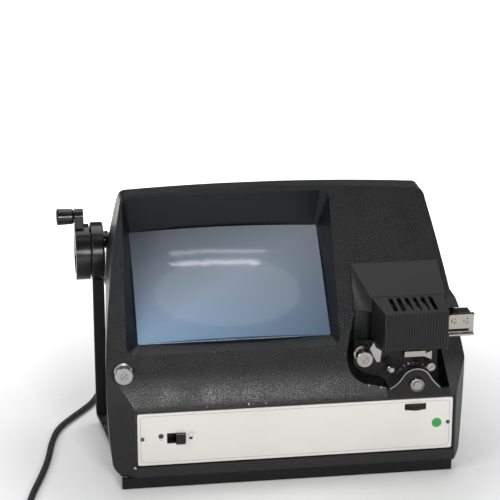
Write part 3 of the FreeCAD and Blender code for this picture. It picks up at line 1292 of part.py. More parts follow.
def mirror_stand(name, centre, normal, half, near, far):
    """Two ribs on a foot, cut off along the mirror's back face."""
    seat, thick = s.seat.value, s.rib_thick.value
    rise = centre.z + s.stand_over.value - seat
    deep, front = (far + near).value, centre.y - near.value
    places = [centre.x - half.value - thick / 2, centre.x + half.value - thick / 2]
    shape = Part.makeBox(2 * half.value + thick, deep, thick, Vector(places[0], front, seat))
    for x in places:
        shape = shape.fuse(Part.makeBox(thick, deep, rise, Vector(x, front, seat)))
    big = 2 * s.height.value
    before = Part.makeBox(big, big, big, Vector(-big / 2, -big / 2, -s.mirror_thick.value))
    before.Placement = Placement(centre, Rotation(Vector(0, 0, 1), normal))
    return solid_of(name, shape.cut(before))


# ---------------------------------------------------------------- power

def transformer():
    core = block("core", (-s.core_left, -s.core_right), (s.core_front, s.core_rear),
                 (s.seat + s.strap_thick, s.seat + s.core_high))
    winding = block("winding", (-s.core_left + s.coil_inset, -s.core_right - s.coil_inset),
                    (s.core_front - s.coil_side, s.core_rear + s.coil_side), (s.coil_low, s.coil_top))
    lugs = block("core_lugs", (-s.core_left - s.strap_long, -s.core_right + s.strap_long),
                 (s.core_front + s.strap_inset, s.core_rear - s.strap_inset),
                 (s.seat, s.seat + s.strap_thick))
    node("transformer", fused("transformer", core, winding, lugs))


def strain_relief():
    flange = s.relief_flange_thick
    long = s.relief_long
    node("cord_strain_relief", turned("cord_strain_relief", "Y", [
        (s.cord_radius, 0), (s.relief_root, 0), (s.relief_root, s.wall),
        (s.relief_flange, s.wall), (s.relief_flange, s.wall + flange),
        (s.relief_root, s.wall + flange), (s.relief_tip, s.wall + long),
        (s.cord_radius, s.wall + long)], s.rear - s.wall, s.cord_exit_x, s.cord_exit_z))


CORD_ROUTE = [
    (-95, 82), (-95, 128), (-108, 150), (-130, 150), (-146, 128), (-153, 104),
    (-169, 80), (-187, 52), (-194, 22), (-197.5, -8), (-204, -40), (-212.5, -72),
    (-217.5, -98), (-220.5, -124), (-222.3, -149.6),
]
CORD_DROP = {0: 24.0, 1: 24.0, 2: 15.0, 3: 5.0}
CORD_LIE = 2.95


def route_points():
    points = []
    for index, (x, y) in enumerate(CORD_ROUTE):
        points.append(Vector(x, y, CORD_DROP.get(index, CORD_LIE)))
    return points


def rounded_path(points):
    """Straight runs joined by arcs as large as their two runs allow."""
    edges, radii, start = [], [], points[0]
    for before, corner, after in zip(points, points[1:], points[2:]):
        into, out = corner - before, after - corner
        turn = into.getAngle(out)
        reach = 0.45 * min(into.Length, out.Length)
        into.normalize()
        out.normalize()
        first, last = corner - into * reach, corner + out * reach
        inward = (out - into).normalize()
        radius = reach / math.tan(turn / 2)
        middle = corner + inward * (radius / math.cos(turn / 2) - radius)
        edges.append(Part.LineSegment(start, first).toShape())
        edges.append(Part.Arc(first, middle, last).toShape())
        radii.append(radius)
        start = last
    edges.append(Part.LineSegment(start, points[-1]).toShape())
    return Part.Wire(edges), radii


def mains_cord():
    """The lead from the strain relief along the table, and the neat coil of what is left."""
    points = route_points()
    path, radii = rounded_path(points)
    radius = s.cord_radius.value
    ring = Part.Wire(Part.Circle(points[0], points[1] - points[0], radius).toShape())
    tube = path.makePipeShell([ring], True, False)
    print("cord length %.1f mm, smallest bend %.1f mm" % (path.Length, min(radii)))
    print("cord volume %.1f of %.1f" % (tube.Volume, math.pi * radius ** 2 * path.Length))
    node("mains_cord", solid_of("mains_cord", tube))
    node("mains_cord_coil", turned("mains_cord_coil", "Z", [
        (s.coil_inner, 1.5), (s.coil_inner + 1.5, 0), (s.coil_outer - 2.5, 0), (s.coil_outer, 2.5),
        (s.coil_outer, s.coil_high - 4), (s.coil_outer - 4, s.coil_high),
        (s.coil_inner + 3, s.coil_high), (s.coil_inner, s.coil_high - 3)],
        s.coil_lift, s.coil_x, s.coil_y))


def mains_plug():
    """A flat two-pin plug that lies on top of the coil."""
    x = s.coil_x + s.plug_off
    rear = s.coil_y + s.plug_entry - s.plug_long
    low = s.coil_lift + s.coil_high + s.plug_gap
    half, waist = s.plug_wide / 2, s.plug_long - s.plug_nose
    shell = padded("plug_shell", "XY_Plane", [
        (-half, 0), (half, 0), (half, waist), (s.plug_nose_half, s.plug_long),
        (-s.plug_nose_half, s.plug_long), (-half, waist)], s.plug_thick)
    move(shell, x, rear, low)
    pins = [rod("plug_pin", "Y", s.prong_radius, rear - s.prong_long, rear + 1,
                x + side * s.prong_pitch / 2, low + s.plug_thick / 2) for side in (-1, 1)]
    node("mains_plug", fused("mains_plug", shell, *pins))


# ---------------------------------------------------------------- splicer rail

def splicer_rail():
    """A plated rail with a rolled lip above, a flange below and a long slot."""
    rear = s.rail_front + s.rail_thick
    lip = s.rail_lip_out
    web = prism("rail_web", "YZ", [
        (s.rail_front, s.rail_low + s.rail_lip), (s.rail_front - lip, s.rail_low + s.rail_lip),
        (s.rail_front - lip, s.rail_low), (rear, s.rail_low), (rear, s.rail_high),
        (s.rail_front - lip, s.rail_high), (s.rail_front - lip, s.rail_high - s.rail_lip),
        (s.rail_front, s.rail_high - s.rail_lip)], s.rail_left, s.rail_right)
    slot = block("rail_slot", (s.rail_left - 1, s.rail_left + s.rail_slot_long),
                 (s.rail_front - 1, rear + 1), (s.rail_slot_low, s.rail_slot_high))
    spots = (s.rail_left + s.rail_screw_first, s.rail_left + s.rail_screw_second)
    sinks = [rod("rail_hole", "Y", s.rail_shank, s.rail_front - 1, rear + 1, x, s.rail_screw_z)
             for x in spots]
    node("splicer_rail", cut("splicer_rail", web, slot, *sinks))
    screws = []
    for x in spots:
        head = rod("rail_screw_head", "Y", s.rail_screw_radius, s.rail_front - s.rail_screw_head,
                   s.rail_front, x, s.rail_screw_z)
        shank = rod("rail_screw_shank", "Y", s.rail_shank, s.rail_front, rear, x, s.rail_screw_z)
        screws.append(cut("rail_screw", fused("rail_screw_blank", head, shank),
                          *cross_recess("rail_screw_cross", x, s.rail_screw_z,
                                        s.rail_front - s.rail_screw_head)))
    node("rail_screws", fused("rail_screws", *screws))
    node("rail_bracket", prism("rail_bracket", "YZ", [
        (rear, s.bracket_low), (face_y(s.bracket_low), s.bracket_low),
        (face_y(s.bracket_high), s.bracket_high), (rear, s.bracket_high)],
        s.rail_left, s.rail_right - s.bracket_short))


# ---------------------------------------------------------------- rewind arm

def arm_foot():
    """The flat bar under the casing that swings the arm out, and its pivot pin."""
    run = s.arm_y - s.pivot_y
    shift = bar_shift()
    lean = angle_of(shift, run)
    long = root_of_squares(shift, run)
    half = s.bar_half
    bar = padded("foot_bar", "XY_Plane", [
        (half, 0), (half, long), (-half, long), (-half, 0)], s.bar_high - s.bar_low)
    move(bar, s.pivot_x, s.pivot_y, s.bar_low, Rotation(Vector(0, 0, 1), lean.value))
    bind(bar, "Placement.Rotation.Angle", lean)
    eye = rod("foot_eye", "Z", half, s.bar_low, s.bar_high, s.pivot_x, s.pivot_y)
    hole = rod("foot_hole", "Z", s.pivot_radius + s.run_gap, s.bar_low - 1, s.bar_high + 1,
               s.pivot_x, s.pivot_y)
    node("arm_foot_bar", cut("arm_foot_bar", fused("foot_blank", bar, eye), hole))
    head = s.bar_low - s.pivot_head_gap - s.pivot_head_low
    shaft = s.seat + s.boss_height - s.pivot_head_low
    node("arm_pivot_pin", turned("arm_pivot_pin", "Z", [
        (0, 0), (s.pivot_head, 0), (s.pivot_head, head), (s.pivot_radius, head),
        (s.pivot_radius, shaft), (0, shaft)], s.pivot_head_low, s.pivot_x, s.pivot_y))


def upright_arm():
    post = block("arm_post", (-s.post_left, -s.post_right),
                 (s.arm_y - s.post_half, s.arm_y + s.post_half),
                 (s.bar_high, s.hub_z - s.case_radius + s.post_lap))
    room = rod("arm_post_top", "X", s.case_radius, -s.post_left - 1, -s.post_right + 1,
               s.arm_y, s.hub_z)
    node("reel_arm", cut("reel_arm", post, room))


def spindle_z():
    """The pinion sits inside the ring gear, so the spindle stands above the crank's axis."""
    return s.hub_z + (s.ring_teeth - s.pinion_teeth) * s.gear_module / 2


def gear_case():
    """A round cup with the crank's axle in its middle and the spindle's bearing above it."""
    deep = s.case_left - s.case_right
    cup = turned("case_cup", "X", [
        (0, deep - s.case_wall), (s.case_radius - s.case_wall, deep - s.case_wall),
        (s.case_radius - s.case_wall, 0), (s.case_radius, 0),
        (s.case_radius, deep - s.case_round), (s.case_radius - s.case_round, deep), (0, deep)],
        -s.case_left, s.arm_y, s.hub_z)
    axle = rod("case_axle", "X", s.axle_radius, -s.crank_left, -s.case_right - s.case_wall + 0.5,
               s.arm_y, s.hub_z)
    bore = rod("case_bore", "X", s.spindle_shaft + s.run_gap, -s.case_left, -s.case_right + 1,
               s.arm_y, spindle_z())
    node("gear_case", cut("gear_case", fused("case_whole", cup, axle), bore))
    inner = block("inner_plate_sheet", (-s.case_right, -s.case_right + s.inner_plate_thick),
                  (s.arm_y - s.inner_plate_half, s.arm_y + s.inner_plate_half),
                  (s.hub_z - s.inner_plate_down, s.hub_z + s.inner_plate_up))
    clear = rod("inner_plate_clear", "X", s.spindle_flange + s.flange_clear, -s.case_right - 1,
                s.inner_plate_thick - s.case_right + 1, s.arm_y, spindle_z())
    node("arm_inner_plate", cut("arm_inner_plate", inner, clear))


def tooth_ring(count, root, tip, share, inward):
    """Straight-flanked teeth round a circle; share is a tooth's part of the pitch."""
    angle = 2 * math.pi / count
    points = []
    for index in range(count):
        middle = angle * index
        foot = angle * share * (0.62 if not inward else 0.60)
        head = angle * share * 0.30
        for radius, turn in ((root, -foot), (tip, -head), (tip, head), (root, foot)):
            points.append(Vector(0, radius * math.cos(middle + turn), radius * math.sin(middle + turn)))
    return Part.Wire(Part.makePolygon(points + points[:1]))


def gears():
    """The ring gear on the crank drives the small pinion on the spindle."""
    module = s.gear_module.value
    ring_pitch, pinion_pitch = module * s.ring_teeth.value / 2, module * s.pinion_teeth.value / 2
    left, right = -s.case_left.value, -(s.case_right.value + s.case_wall.value + s.gear_gap.value)
    ring_outer = Part.Wire(Part.Circle(Vector(0, 0, 0), Vector(1, 0, 0), s.ring_outer.value).toShape())
    ring_teeth = tooth_ring(int(s.ring_teeth.value), ring_pitch + module, ring_pitch - 0.8 * module,
                            s.tooth_share.value, True)
    plane = Part.Face(ring_outer).cut(Part.Face(ring_teeth))
    ring = solid_of("ring_gear", plane.extrude(Vector(right - left, 0, 0)))
    node("ring_gear", move(ring, -s.case_left, s.arm_y, s.hub_z))
    pinion_teeth = tooth_ring(int(s.pinion_teeth.value), pinion_pitch - module,
                              pinion_pitch + 0.8 * module, s.tooth_share.value, False)
    pinion_face = Part.Face(pinion_teeth).cut(
        Part.Face(Part.Wire(Part.Circle(Vector(), Vector(1, 0, 0), s.spindle_shaft.value).toShape())))
    pinion = solid_of("pinion", pinion_face.extrude(Vector(right - left - s.gear_gap.value, 0, 0)))
    half_pitch = Rotation(Vector(1, 0, 0), 180 / s.pinion_teeth.value)
    node("spindle_pinion", move(pinion, -s.case_left + s.gear_gap, s.arm_y, spindle_z(), half_pitch))


def reel_spindle():
    """The spindle that carries a reel: a shaft, a flange and a smooth core with root lugs."""
    start = -s.case_left + s.gear_gap
    shaft = s.spindle_gap - s.case_right - start
    flange = shaft + s.spindle_flange_thick
    root = flange + s.lug_long
    tip = -s.spindle_tip - start
    core = turned("spindle_core", "X", [
        (0, 0), (s.spindle_shaft, 0), (s.spindle_shaft, shaft), (s.spindle_flange, shaft),
        (s.spindle_flange, flange), (s.spindle_root, flange), (s.spindle_root, root),
        (s.spindle_core, root), (s.spindle_core, tip - s.spindle_nose),
        (s.spindle_core - s.spindle_nose, tip), (0, tip)], start, s.arm_y, spindle_z())
    reach, half = s.spindle_core + s.lug_reach, s.lug_wide / 2
    lugs = [block("spindle_lug", (start + flange, start + root), (s.arm_y - a, s.arm_y + a),
                  (spindle_z() - b, spindle_z() + b)) for a, b in ((half, reach), (reach, half))]
    node("reel_spindle", fused("reel_spindle", core, *lugs))


def crank():
    """The crank disc with its short arm; it turns on the gear case's axle."""
    right = -s.case_left - s.crank_gap
    disc = rod("crank_disc", "X", s.crank_radius, -s.crank_left, right, s.arm_y, s.hub_z)
    neck = rod("crank_neck", "X", s.ring_outer, right - 0.5, -s.case_left, s.arm_y, s.hub_z)
    tip_z = s.hub_z + s.crank_throw
    arm = block("crank_arm", (-s.crank_left, -s.crank_arm_right),
                (s.arm_y - s.crank_arm_half, s.arm_y + s.crank_arm_half), (s.hub_z, tip_z))
    tip = rod("crank_tip", "X", s.crank_arm_half, -s.crank_left, -s.crank_arm_right, s.arm_y, tip_z)
    bore = rod("crank_bore", "X", s.axle_radius + s.axle_clear, -s.crank_left - 1,
               -s.case_left + 1, s.arm_y, s.hub_z)
    cap_room = rod("crank_dish", "X", s.crank_radius - s.crank_rim, -s.crank_left - 1,
                   s.crank_dish - s.crank_left, s.arm_y, s.hub_z)
    disc_dished = cut("crank_dished", disc, cap_room)
    pinion_room = rod("crank_pinion_room", "X", s.ring_teeth / 2 * s.gear_module,
                      -s.case_left - s.gear_gap, -s.case_left + 1, s.arm_y, s.hub_z)
    node("crank", cut("crank", fused("crank_whole", disc_dished, neck, arm, tip), bore, pinion_room))
    head, end = s.knob_pin + s.pin_head, s.knob_outer - s.crank_left + s.pin_proud
    node("knob_pin", turned("knob_pin", "X", [
        (0, 0), (head, 0), (head, s.pin_head_thick), (s.knob_pin, s.pin_head_thick),
        (s.knob_pin, end), (0, end)], -s.knob_outer - s.pin_proud, s.arm_y, tip_z))
    long = s.knob_outer - s.knob_inner
    bore_radius, room = s.knob_pin + s.run_gap, head + s.pin_proud
    deep = s.pin_head_thick
    node("crank_knob", turned("crank_knob", "X", [
        (room, 0), (s.knob_radius - s.knob_round, 0),
        (s.knob_radius, s.knob_round, s.knob_round),
        (s.knob_radius - s.knob_taper, long - s.knob_round),
        (s.knob_radius - s.knob_round, long), (bore_radius, long), (bore_radius, deep),
        (room, deep)], -s.knob_outer, s.arm_y, tip_z))


# ---------------------------------------------------------------- build, test and write

def build():
    casing()
    casing_screws()
    base_plate()
    rubber_feet()
    screen_parts()
    name_plate()
    name_plate_screws()
    slide_switch()
    lamp_cover()
    lamp()
    gate_chassis()
    gate_front_plate()
    sprocket()
    film_saddle()
    aperture_plate()
    light_shield()
    guide_rollers()
    focus_and_lens()
    mirrors()
    transformer()
    strain_relief()
    mains_cord()
    mains_plug()
    splicer_rail()
    arm_foot()
    upright_arm()
    gear_case()
    gears()
    reel_spindle()
    crank()


def check_and_write():
    document.recompute()
    faults = []
    for item in document.Objects:
        if "Invalid" in item.State or "Error" in item.State:
            faults.append("%s: %s" % (item.Name, item.State))
    for item in nodes:
        if item.Shape.isNull() or not item.Shape.isValid() or not item.Shape.Solids:
            faults.append("%s: bad shape" % item.Label)
    if faults:
        raise RuntimeError("; ".join(faults))
    os.makedirs("parts", exist_ok=True)
    for item in nodes:
        item.Shape.exportStep("parts/%s.step" % item.Label)
        print(item.Label, len(item.Shape.Solids), round(item.Shape.Volume, 1))


build()
check_and_write()
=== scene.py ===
# %% [markdown]
# # A film editor viewer, dressed in Blender
# The exact solids come from the CAD model. This script keeps them where they are and gives
# them the finish of the real thing: hammered black paint, satin aluminium, polished nickel,
# ribbed plastic and a frosted blue-grey screen. Every length is in metres, in the CAD frame,
# unless a comment says millimetres.

# %% Load the frame
import json
import math

import bmesh
import bpy
from mathutils import Matrix, Vector


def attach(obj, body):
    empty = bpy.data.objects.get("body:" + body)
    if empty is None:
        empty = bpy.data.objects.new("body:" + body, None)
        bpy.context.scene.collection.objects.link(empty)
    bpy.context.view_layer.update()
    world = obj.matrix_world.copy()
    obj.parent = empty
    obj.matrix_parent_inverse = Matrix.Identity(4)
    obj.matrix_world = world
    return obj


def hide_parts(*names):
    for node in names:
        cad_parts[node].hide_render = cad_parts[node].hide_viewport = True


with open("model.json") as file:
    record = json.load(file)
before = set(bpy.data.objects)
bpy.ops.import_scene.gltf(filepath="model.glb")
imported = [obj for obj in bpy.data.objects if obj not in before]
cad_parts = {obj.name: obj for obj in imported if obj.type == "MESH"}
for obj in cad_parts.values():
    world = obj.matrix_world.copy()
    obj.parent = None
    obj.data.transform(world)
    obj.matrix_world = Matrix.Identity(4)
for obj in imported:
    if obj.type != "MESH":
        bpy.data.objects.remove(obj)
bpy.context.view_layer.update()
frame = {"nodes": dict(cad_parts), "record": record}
nodes = frame["nodes"]
print("loaded", len(nodes), "nodes")

# %% [markdown]
# ## Places on the object
# The casing was measured in millimetres from an origin on its own middle plane, but the frame's
# origin lies under the middle of the whole object, arm included. One small helper turns the
# first into the second, so that every place below can be written as it was measured.

# %% Places in millimetres
SHIFT = Vector((11.75, -4.3, 0.0))


def spot(x, y, z):
    """A place given in millimetres from the casing's own origin."""
    return (Vector((x, y, z)) + SHIFT) / 1000


# %% [markdown]
# ## Camera
# The view is a long lens from the front, a little to the left of the casing and nineteen
# degrees above it. The long lens keeps the casing's edges nearly parallel.

# %% Camera
EYE = spot(-227.4, -1458.8, 687.3)
LENS_MM, SENSOR_MM = 133.2, 36.0
LOOKS_DOWN, LOOKS_RIGHT = 19, 8  # degrees
camera_data = bpy.data.cameras.new("camera")
camera_data.sensor_width = SENSOR_MM
camera_data.lens = LENS_MM
camera = bpy.data.objects.new("camera", camera_data)
camera.location = EYE
camera.rotation_euler = (math.radians(90 - LOOKS_DOWN), 0, math.radians(-LOOKS_RIGHT))
bpy.context.collection.objects.link(camera)
bpy.context.scene.camera = camera
print("camera at", [round(value, 3) for value in EYE])


# %% [markdown]
# ## Helpers for new pieces
# A new piece keeps its place in its mesh, so its object stays at the origin like a CAD node.
# `finish_piece` links it, gives it a material and says which body carries it.

# %% Helpers for pieces
def finish_piece(name, mesh, material, body, replaces=()):
    """An object for a mesh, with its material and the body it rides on."""
    piece = bpy.data.objects.new(name, mesh)
    bpy.context.collection.objects.link(piece)
    mesh.materials.append(material)
    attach(piece, body)
    if replaces:
        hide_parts(*replaces)
    return piece


def mesh_from(shape, name, smooth=False):
    """A mesh from a bmesh, which is freed."""
    mesh = bpy.data.meshes.new(name)
    shape.to_mesh(mesh)
    shape.free()
    for face in mesh.polygons:
        face.use_smooth = smooth
    return mesh


# %% [markdown]
# ## Node tree helpers
# Each finish is a Principled shader whose colour, roughness and bump come from procedural
# patterns on object coordinates, so a pattern keeps its real size in metres. Written out node
# by node this would be long, so a small class holds the shader and the steps that repeat.

# %% Helpers for materials
class Finish:
    """A material with one Principled shader and short ways to add patterns to it."""

    def __init__(self, name, color, roughness, metallic=0.0, **sockets):
        self.material = bpy.data.materials.new(name)
        self.material.use_nodes = True
        self.tree = self.material.node_tree
        self.shader = self.tree.nodes["Principled BSDF"]
        self.place = self.tree.nodes.new("ShaderNodeTexCoord").outputs["Object"]
        self.set("Base Color", (*color, 1.0))
        self.set("Roughness", roughness)
        self.set("Metallic", metallic)
        for socket, value in sockets.items():
            self.set(socket.replace("_", " "), value)
        self.bumps = None

    def set(self, socket, value):
        """Set one of the shader's own sockets."""
        self.shader.inputs[socket].default_value = value

    def link(self, output, socket):
        """Join two sockets and give back the first."""
        self.tree.links.new(output, socket)
        return output

    def math(self, operation, first, second=0.0):
        """One Math node on numbers or sockets."""
        node = self.tree.nodes.new("ShaderNodeMath")
        node.operation = operation
        for socket, value in zip(node.inputs, (first, second)):
            if isinstance(value, (int, float)):
                socket.default_value = value
            else:
                self.link(value, socket)
        return node.outputs[0]

    def along(self, direction, origin, half):
        """How far a point lies along a direction, as a share of a half length."""
        node = self.tree.nodes.new("ShaderNodeVectorMath")
        node.operation = "DOT_PRODUCT"
        self.link(self.place, node.inputs[0])
        node.inputs[1].default_value = Vector(direction) / half
        start = Vector(direction).dot(origin) / half
        return self.math("SUBTRACT", node.outputs["Value"], start)

    def blend(self, share, first, second):
        """Mix two colours, each a tuple or a socket, by a share between 0 and 1."""
        node = self.tree.nodes.new("ShaderNodeMix")
        node.data_type = "RGBA"
        for index, value in ((0, share), (6, first), (7, second)):
            if isinstance(value, tuple):
                node.inputs[index].default_value = (*value, 1.0)
            else:
                self.link(value, node.inputs[index])
        return node.outputs[2]

    def noise(self, scale, detail=2.0, rough=0.5, stretch=None):
        """Soft random patches; the scale is how many fit in a metre."""
        pattern = self.tree.nodes.new("ShaderNodeTexNoise")
        pattern.inputs["Scale"].default_value = scale
        pattern.inputs["Detail"].default_value = detail
        pattern.inputs["Roughness"].default_value = rough
        self.link(self.stretched(stretch), pattern.inputs["Vector"])
        return pattern.outputs["Fac"]

    def stretched(self, stretch):
        """Object coordinates, scaled along each axis where a pattern has a grain."""
        if not stretch:
            return self.place
        mapping = self.tree.nodes.new("ShaderNodeMapping")
        mapping.inputs["Scale"].default_value = stretch
        self.link(self.place, mapping.inputs["Vector"])
        return mapping.outputs["Vector"]

    def ramp(self, factor, stops):
        """Colours or greys at given positions along a factor."""
        node = self.tree.nodes.new("ShaderNodeValToRGB")
        elements = node.color_ramp.elements
        while len(elements) < len(stops):
            elements.new(0.5)
        for element, (position, value) in zip(elements, stops):
            color = value if isinstance(value, tuple) else (value, value, value)
            element.position = position
            element.color = (*color, 1.0)
        self.link(factor, node.inputs["Fac"])
        return node.outputs["Color"]

    def tint(self, factor, low, high, start=0.3, end=0.7):
        """Vary the base colour between two colours."""
        self.link(self.ramp(factor, [(start, low), (end, high)]), self.shader.inputs["Base Color"])

    def gloss(self, factor, low, high, start=0.3, end=0.7):
        """Vary the roughness between two values."""
        self.link(self.ramp(factor, [(start, low), (end, high)]), self.shader.inputs["Roughness"])

    def bump(self, height, depth, strength=1.0):
        """Add relief of a depth in metres on top of what is already there."""
        node = self.tree.nodes.new("ShaderNodeBump")
        node.inputs["Strength"].default_value = strength
        node.inputs["Distance"].default_value = depth
        self.link(height, node.inputs["Height"])
        if self.bumps:
            self.link(self.bumps, node.inputs["Normal"])
        self.bumps = self.link(node.outputs["Normal"], self.shader.inputs["Normal"])


# %% [markdown]
# ## Black finishes
# The casing is steel with hammered black paint: a skin of fine raised specks, about a
# millimetre across. A noise pattern that is cut into low and high by a ramp gives such specks;
# a slow second noise under it makes the paint a little wavy, as sprayed paint is.

# %% Casing paint
hammered = Finish("hammered_black", (0.007, 0.007, 0.008), 0.34, Specular_IOR_Level=0.36)
specks = hammered.ramp(hammered.noise(1150, 1, 0.4), [(0.44, 0.0), (0.6, 1.0)])
hammered.bump(specks, 0.00013, 0.85)
hammered.bump(hammered.noise(150, 3), 0.0002, 0.12)
hammered.gloss(hammered.noise(60, 3), 0.28, 0.4)
hammered.tint(hammered.noise(14, 4), (0.006, 0.006, 0.0065), (0.009, 0.009, 0.0095))
print("casing paint made")

# %% [markdown]
# The other blacks have no specks and differ in how they shine: smooth paint inside the screen's
# recess and the gate's bay, satin paint on the base and the arm, glossy plastic on the hub,
# matt plastic on the ribbed lamp cover, a smooth satin hood, and dull plastic inside. Each
# one's roughness varies slowly, and all that show well have a very fine grain, because no real
# surface is perfectly even.

# %% Smooth, satin and glossy blacks
inner_paint = Finish("inner_paint", (0.007, 0.0075, 0.0085), 0.34, Specular_IOR_Level=0.38)
inner_paint.gloss(inner_paint.noise(45, 3), 0.3, 0.42)
inner_paint.bump(inner_paint.noise(700, 2), 0.00002, 0.2)

satin_base = Finish("satin_base_black", (0.005, 0.005, 0.0055), 0.45, Specular_IOR_Level=0.22)
satin_base.bump(satin_base.noise(900, 2), 0.00004, 0.4)
satin_base.gloss(satin_base.noise(40, 3), 0.38, 0.55)

satin_arm = Finish("satin_arm_black", (0.006, 0.006, 0.0065), 0.4, Specular_IOR_Level=0.25)
satin_arm.bump(satin_arm.noise(1400, 2), 0.00002, 0.35)
satin_arm.gloss(satin_arm.noise(70, 3), 0.34, 0.48)

gloss_hub = Finish("gloss_hub_black", (0.005, 0.005, 0.0055), 0.2, Specular_IOR_Level=0.35)
gloss_hub.gloss(gloss_hub.noise(90, 4), 0.16, 0.28)
gloss_hub.bump(gloss_hub.noise(240, 2), 0.00002, 0.15)

ribbed_cover = Finish("cover_plastic", (0.008, 0.008, 0.008), 0.5, Specular_IOR_Level=0.28)
ribbed_cover.bump(ribbed_cover.noise(1800, 2), 0.00003, 0.4)
ribbed_cover.gloss(ribbed_cover.noise(80, 3), 0.44, 0.58)

smooth_hood = Finish("hood_satin", (0.017, 0.016, 0.017), 0.42, Specular_IOR_Level=0.32)
smooth_hood.bump(smooth_hood.noise(1200, 2), 0.00002, 0.3)
smooth_hood.gloss(smooth_hood.noise(50, 3), 0.36, 0.5)

inner_black = Finish("inner_plastic", (0.009, 0.009, 0.010), 0.6)
inner_black.gloss(inner_black.noise(60, 3), 0.5, 0.68)
print("seven more blacks made")

# %% [markdown]
# ## Wear
# The paint is chipped to bare metal in a few small spots: along the front edge above the plate,
# on the ledge beside the gate and at the lower left corner. A spot is every point that is near
# enough to its centre, with a noise added to the distance so that its edge is ragged. Depth
# counts only a twentieth, so a spot reaches over an edge, but never to the rear cover. The
# spots' places are in millimetres.

# %% Worn spots
WORN = [(-68.6, 72.1, 0.7), (-33.9, 72.5, 1.0), (-30.5, 72.3, 0.6), (-19.8, 72.5, 0.9),
        (2.7, 72.2, 0.7), (77.4, 79.6, 1.0), (67.2, 82.0, 0.9),
        (-128.5, 20.5, 1.3)]  # across, height and radius in millimetres
WORN_DEPTH = -74
FLATTEN = Vector((1.0, 0.05, 1.0))
RAGGED, RAGGED_ROOM = 0.0014, 0.0004
BARE_METAL = (0.42, 0.41, 0.40)

flattened = hammered.tree.nodes.new("ShaderNodeVectorMath")
flattened.operation = "MULTIPLY"
flattened.inputs[1].default_value = FLATTEN
hammered.link(hammered.place, flattened.inputs[0])
ragged = hammered.math("MULTIPLY", hammered.noise(1300, 2), RAGGED)
worn = 0.0
for x, z, radius in WORN:
    reach = hammered.tree.nodes.new("ShaderNodeVectorMath")
    reach.operation = "DISTANCE"
    hammered.link(flattened.outputs[0], reach.inputs[0])
    reach.inputs[1].default_value = spot(x, WORN_DEPTH, z) * FLATTEN
    ragged_reach = hammered.math("ADD", reach.outputs["Value"], ragged)
    inside = hammered.math("LESS_THAN", ragged_reach, radius / 1000 + RAGGED_ROOM)
    worn = hammered.math("MAXIMUM", inside, worn)
paint_color = hammered.shader.inputs["Base Color"]
paint = paint_color.links[0].from_socket
hammered.link(hammered.blend(worn, paint, BARE_METAL), paint_color)
print("worn spots:", len(WORN))

# %% [markdown]
# ## Metals
# The plate is satin aluminium with a very fine horizontal grain, which a noise gives when it is
# stretched along the plate. The rollers and the gate are nickel plated, pins are plain turned
# steel, the plate's screws are darkened steel, and the transformer's core is varnished iron
# sheets. Most of a metal's look is what it mirrors, so its patterns are a roughness that varies
# a little and a fine grain, and only the plate's colour drifts.

# %% Metal finishes
plate_silver = Finish("satin_plate", (0.66, 0.645, 0.61), 0.42, 0.35)
plate_silver.bump(plate_silver.noise(1500, 2, 0.5, (0.04, 1, 1)), 0.00002, 0.25)
plate_silver.tint(plate_silver.noise(9, 3), (0.63, 0.615, 0.58), (0.69, 0.675, 0.64))

nickel = Finish("polished_nickel", (0.28, 0.262, 0.24), 0.24, 1.0)
nickel.gloss(nickel.noise(120, 4), 0.18, 0.34)
nickel.bump(nickel.noise(900, 2, 0.5, (1, 1, 0.15)), 0.00001, 0.2)

steel = Finish("turned_steel", (0.28, 0.28, 0.285), 0.34, 1.0)
steel.gloss(steel.noise(150, 4), 0.24, 0.42)
steel.bump(steel.noise(1600, 2), 0.00001, 0.25)

dark_steel = Finish("dark_screw_steel", (0.10, 0.10, 0.10), 0.36, 1.0)
dark_steel.gloss(dark_steel.noise(900, 2), 0.3, 0.45)

core_iron = Finish("varnished_core", (0.09, 0.06, 0.045), 0.5, 0.4)
core_iron.bump(core_iron.noise(600, 2, 0.5, (1, 0.02, 1)), 0.0002, 0.5)
print("five metals made")

# %% [markdown]
# ## Screen
# The screen is frosted on the inside and polished on the outside, so it shows a soft blue-grey
# body with a sharp reflection over it. A coat does the polished front. Over the glass's own
# blue-grey, a painted reflection makes it bluer low down and greyer high up, and painted shade
# darkens it towards the upper left and the lower right corner, so its colour is a ramp along
# the glass with the painted shade blended over it.

# %% Screen glass
SCREEN_MIDDLE = spot(-40.6, -1.6, 151.65)
SCREEN_RIGHT, SCREEN_UP = Vector((1, 0, 0)), Vector((0, 0.7282, 0.6854))
SCREEN_HALF_WIDE, SCREEN_HALF_HIGH = 0.081, 0.0527
LOW_BLUE, MIDDLE_BLUE, HIGH_GREY = (0.175, 0.285, 0.43), (0.18, 0.235, 0.31), (0.215, 0.24, 0.285)
CORNER_SHADE, DEEPEST_SHADE = 0.30, 0.62

screen = Finish("screen_glass", (0.16, 0.235, 0.35), 0.5, Coat_Weight=1.0, Coat_Roughness=0.06)
across = screen.along(SCREEN_RIGHT, SCREEN_MIDDLE, SCREEN_HALF_WIDE)
upward = screen.along(SCREEN_UP, SCREEN_MIDDLE, SCREEN_HALF_HIGH)
height = screen.math("ADD", screen.math("MULTIPLY", upward, 0.5), 0.5)
# painted reflection: bluer low down and greyer high up, over the glass's own blue-grey
body = screen.ramp(height, [(0.0, LOW_BLUE), (0.45, MIDDLE_BLUE), (1.0, HIGH_GREY)])
# painted shade: darker towards the upper left and the lower right corner
corner = screen.math("ABSOLUTE", screen.math("SUBTRACT", across, upward))
corner = screen.math("MINIMUM", screen.math("MULTIPLY", corner, CORNER_SHADE), DEEPEST_SHADE)
painted_corner_shade = screen.blend(corner, body, (0.0, 0.0, 0.0))
screen.link(painted_corner_shade, screen.shader.inputs["Base Color"])
print("screen glass made")

# %% [markdown]
# ## Glass, enamel and rubber
# Lenses, prism and bulb are clear glass, the mirrors are silvered, the marker disc is green
# enamel under a thin gloss, and the feet and the lead are black rubber. Clear glass and a
# mirror have no grain to show, so those two stay even.

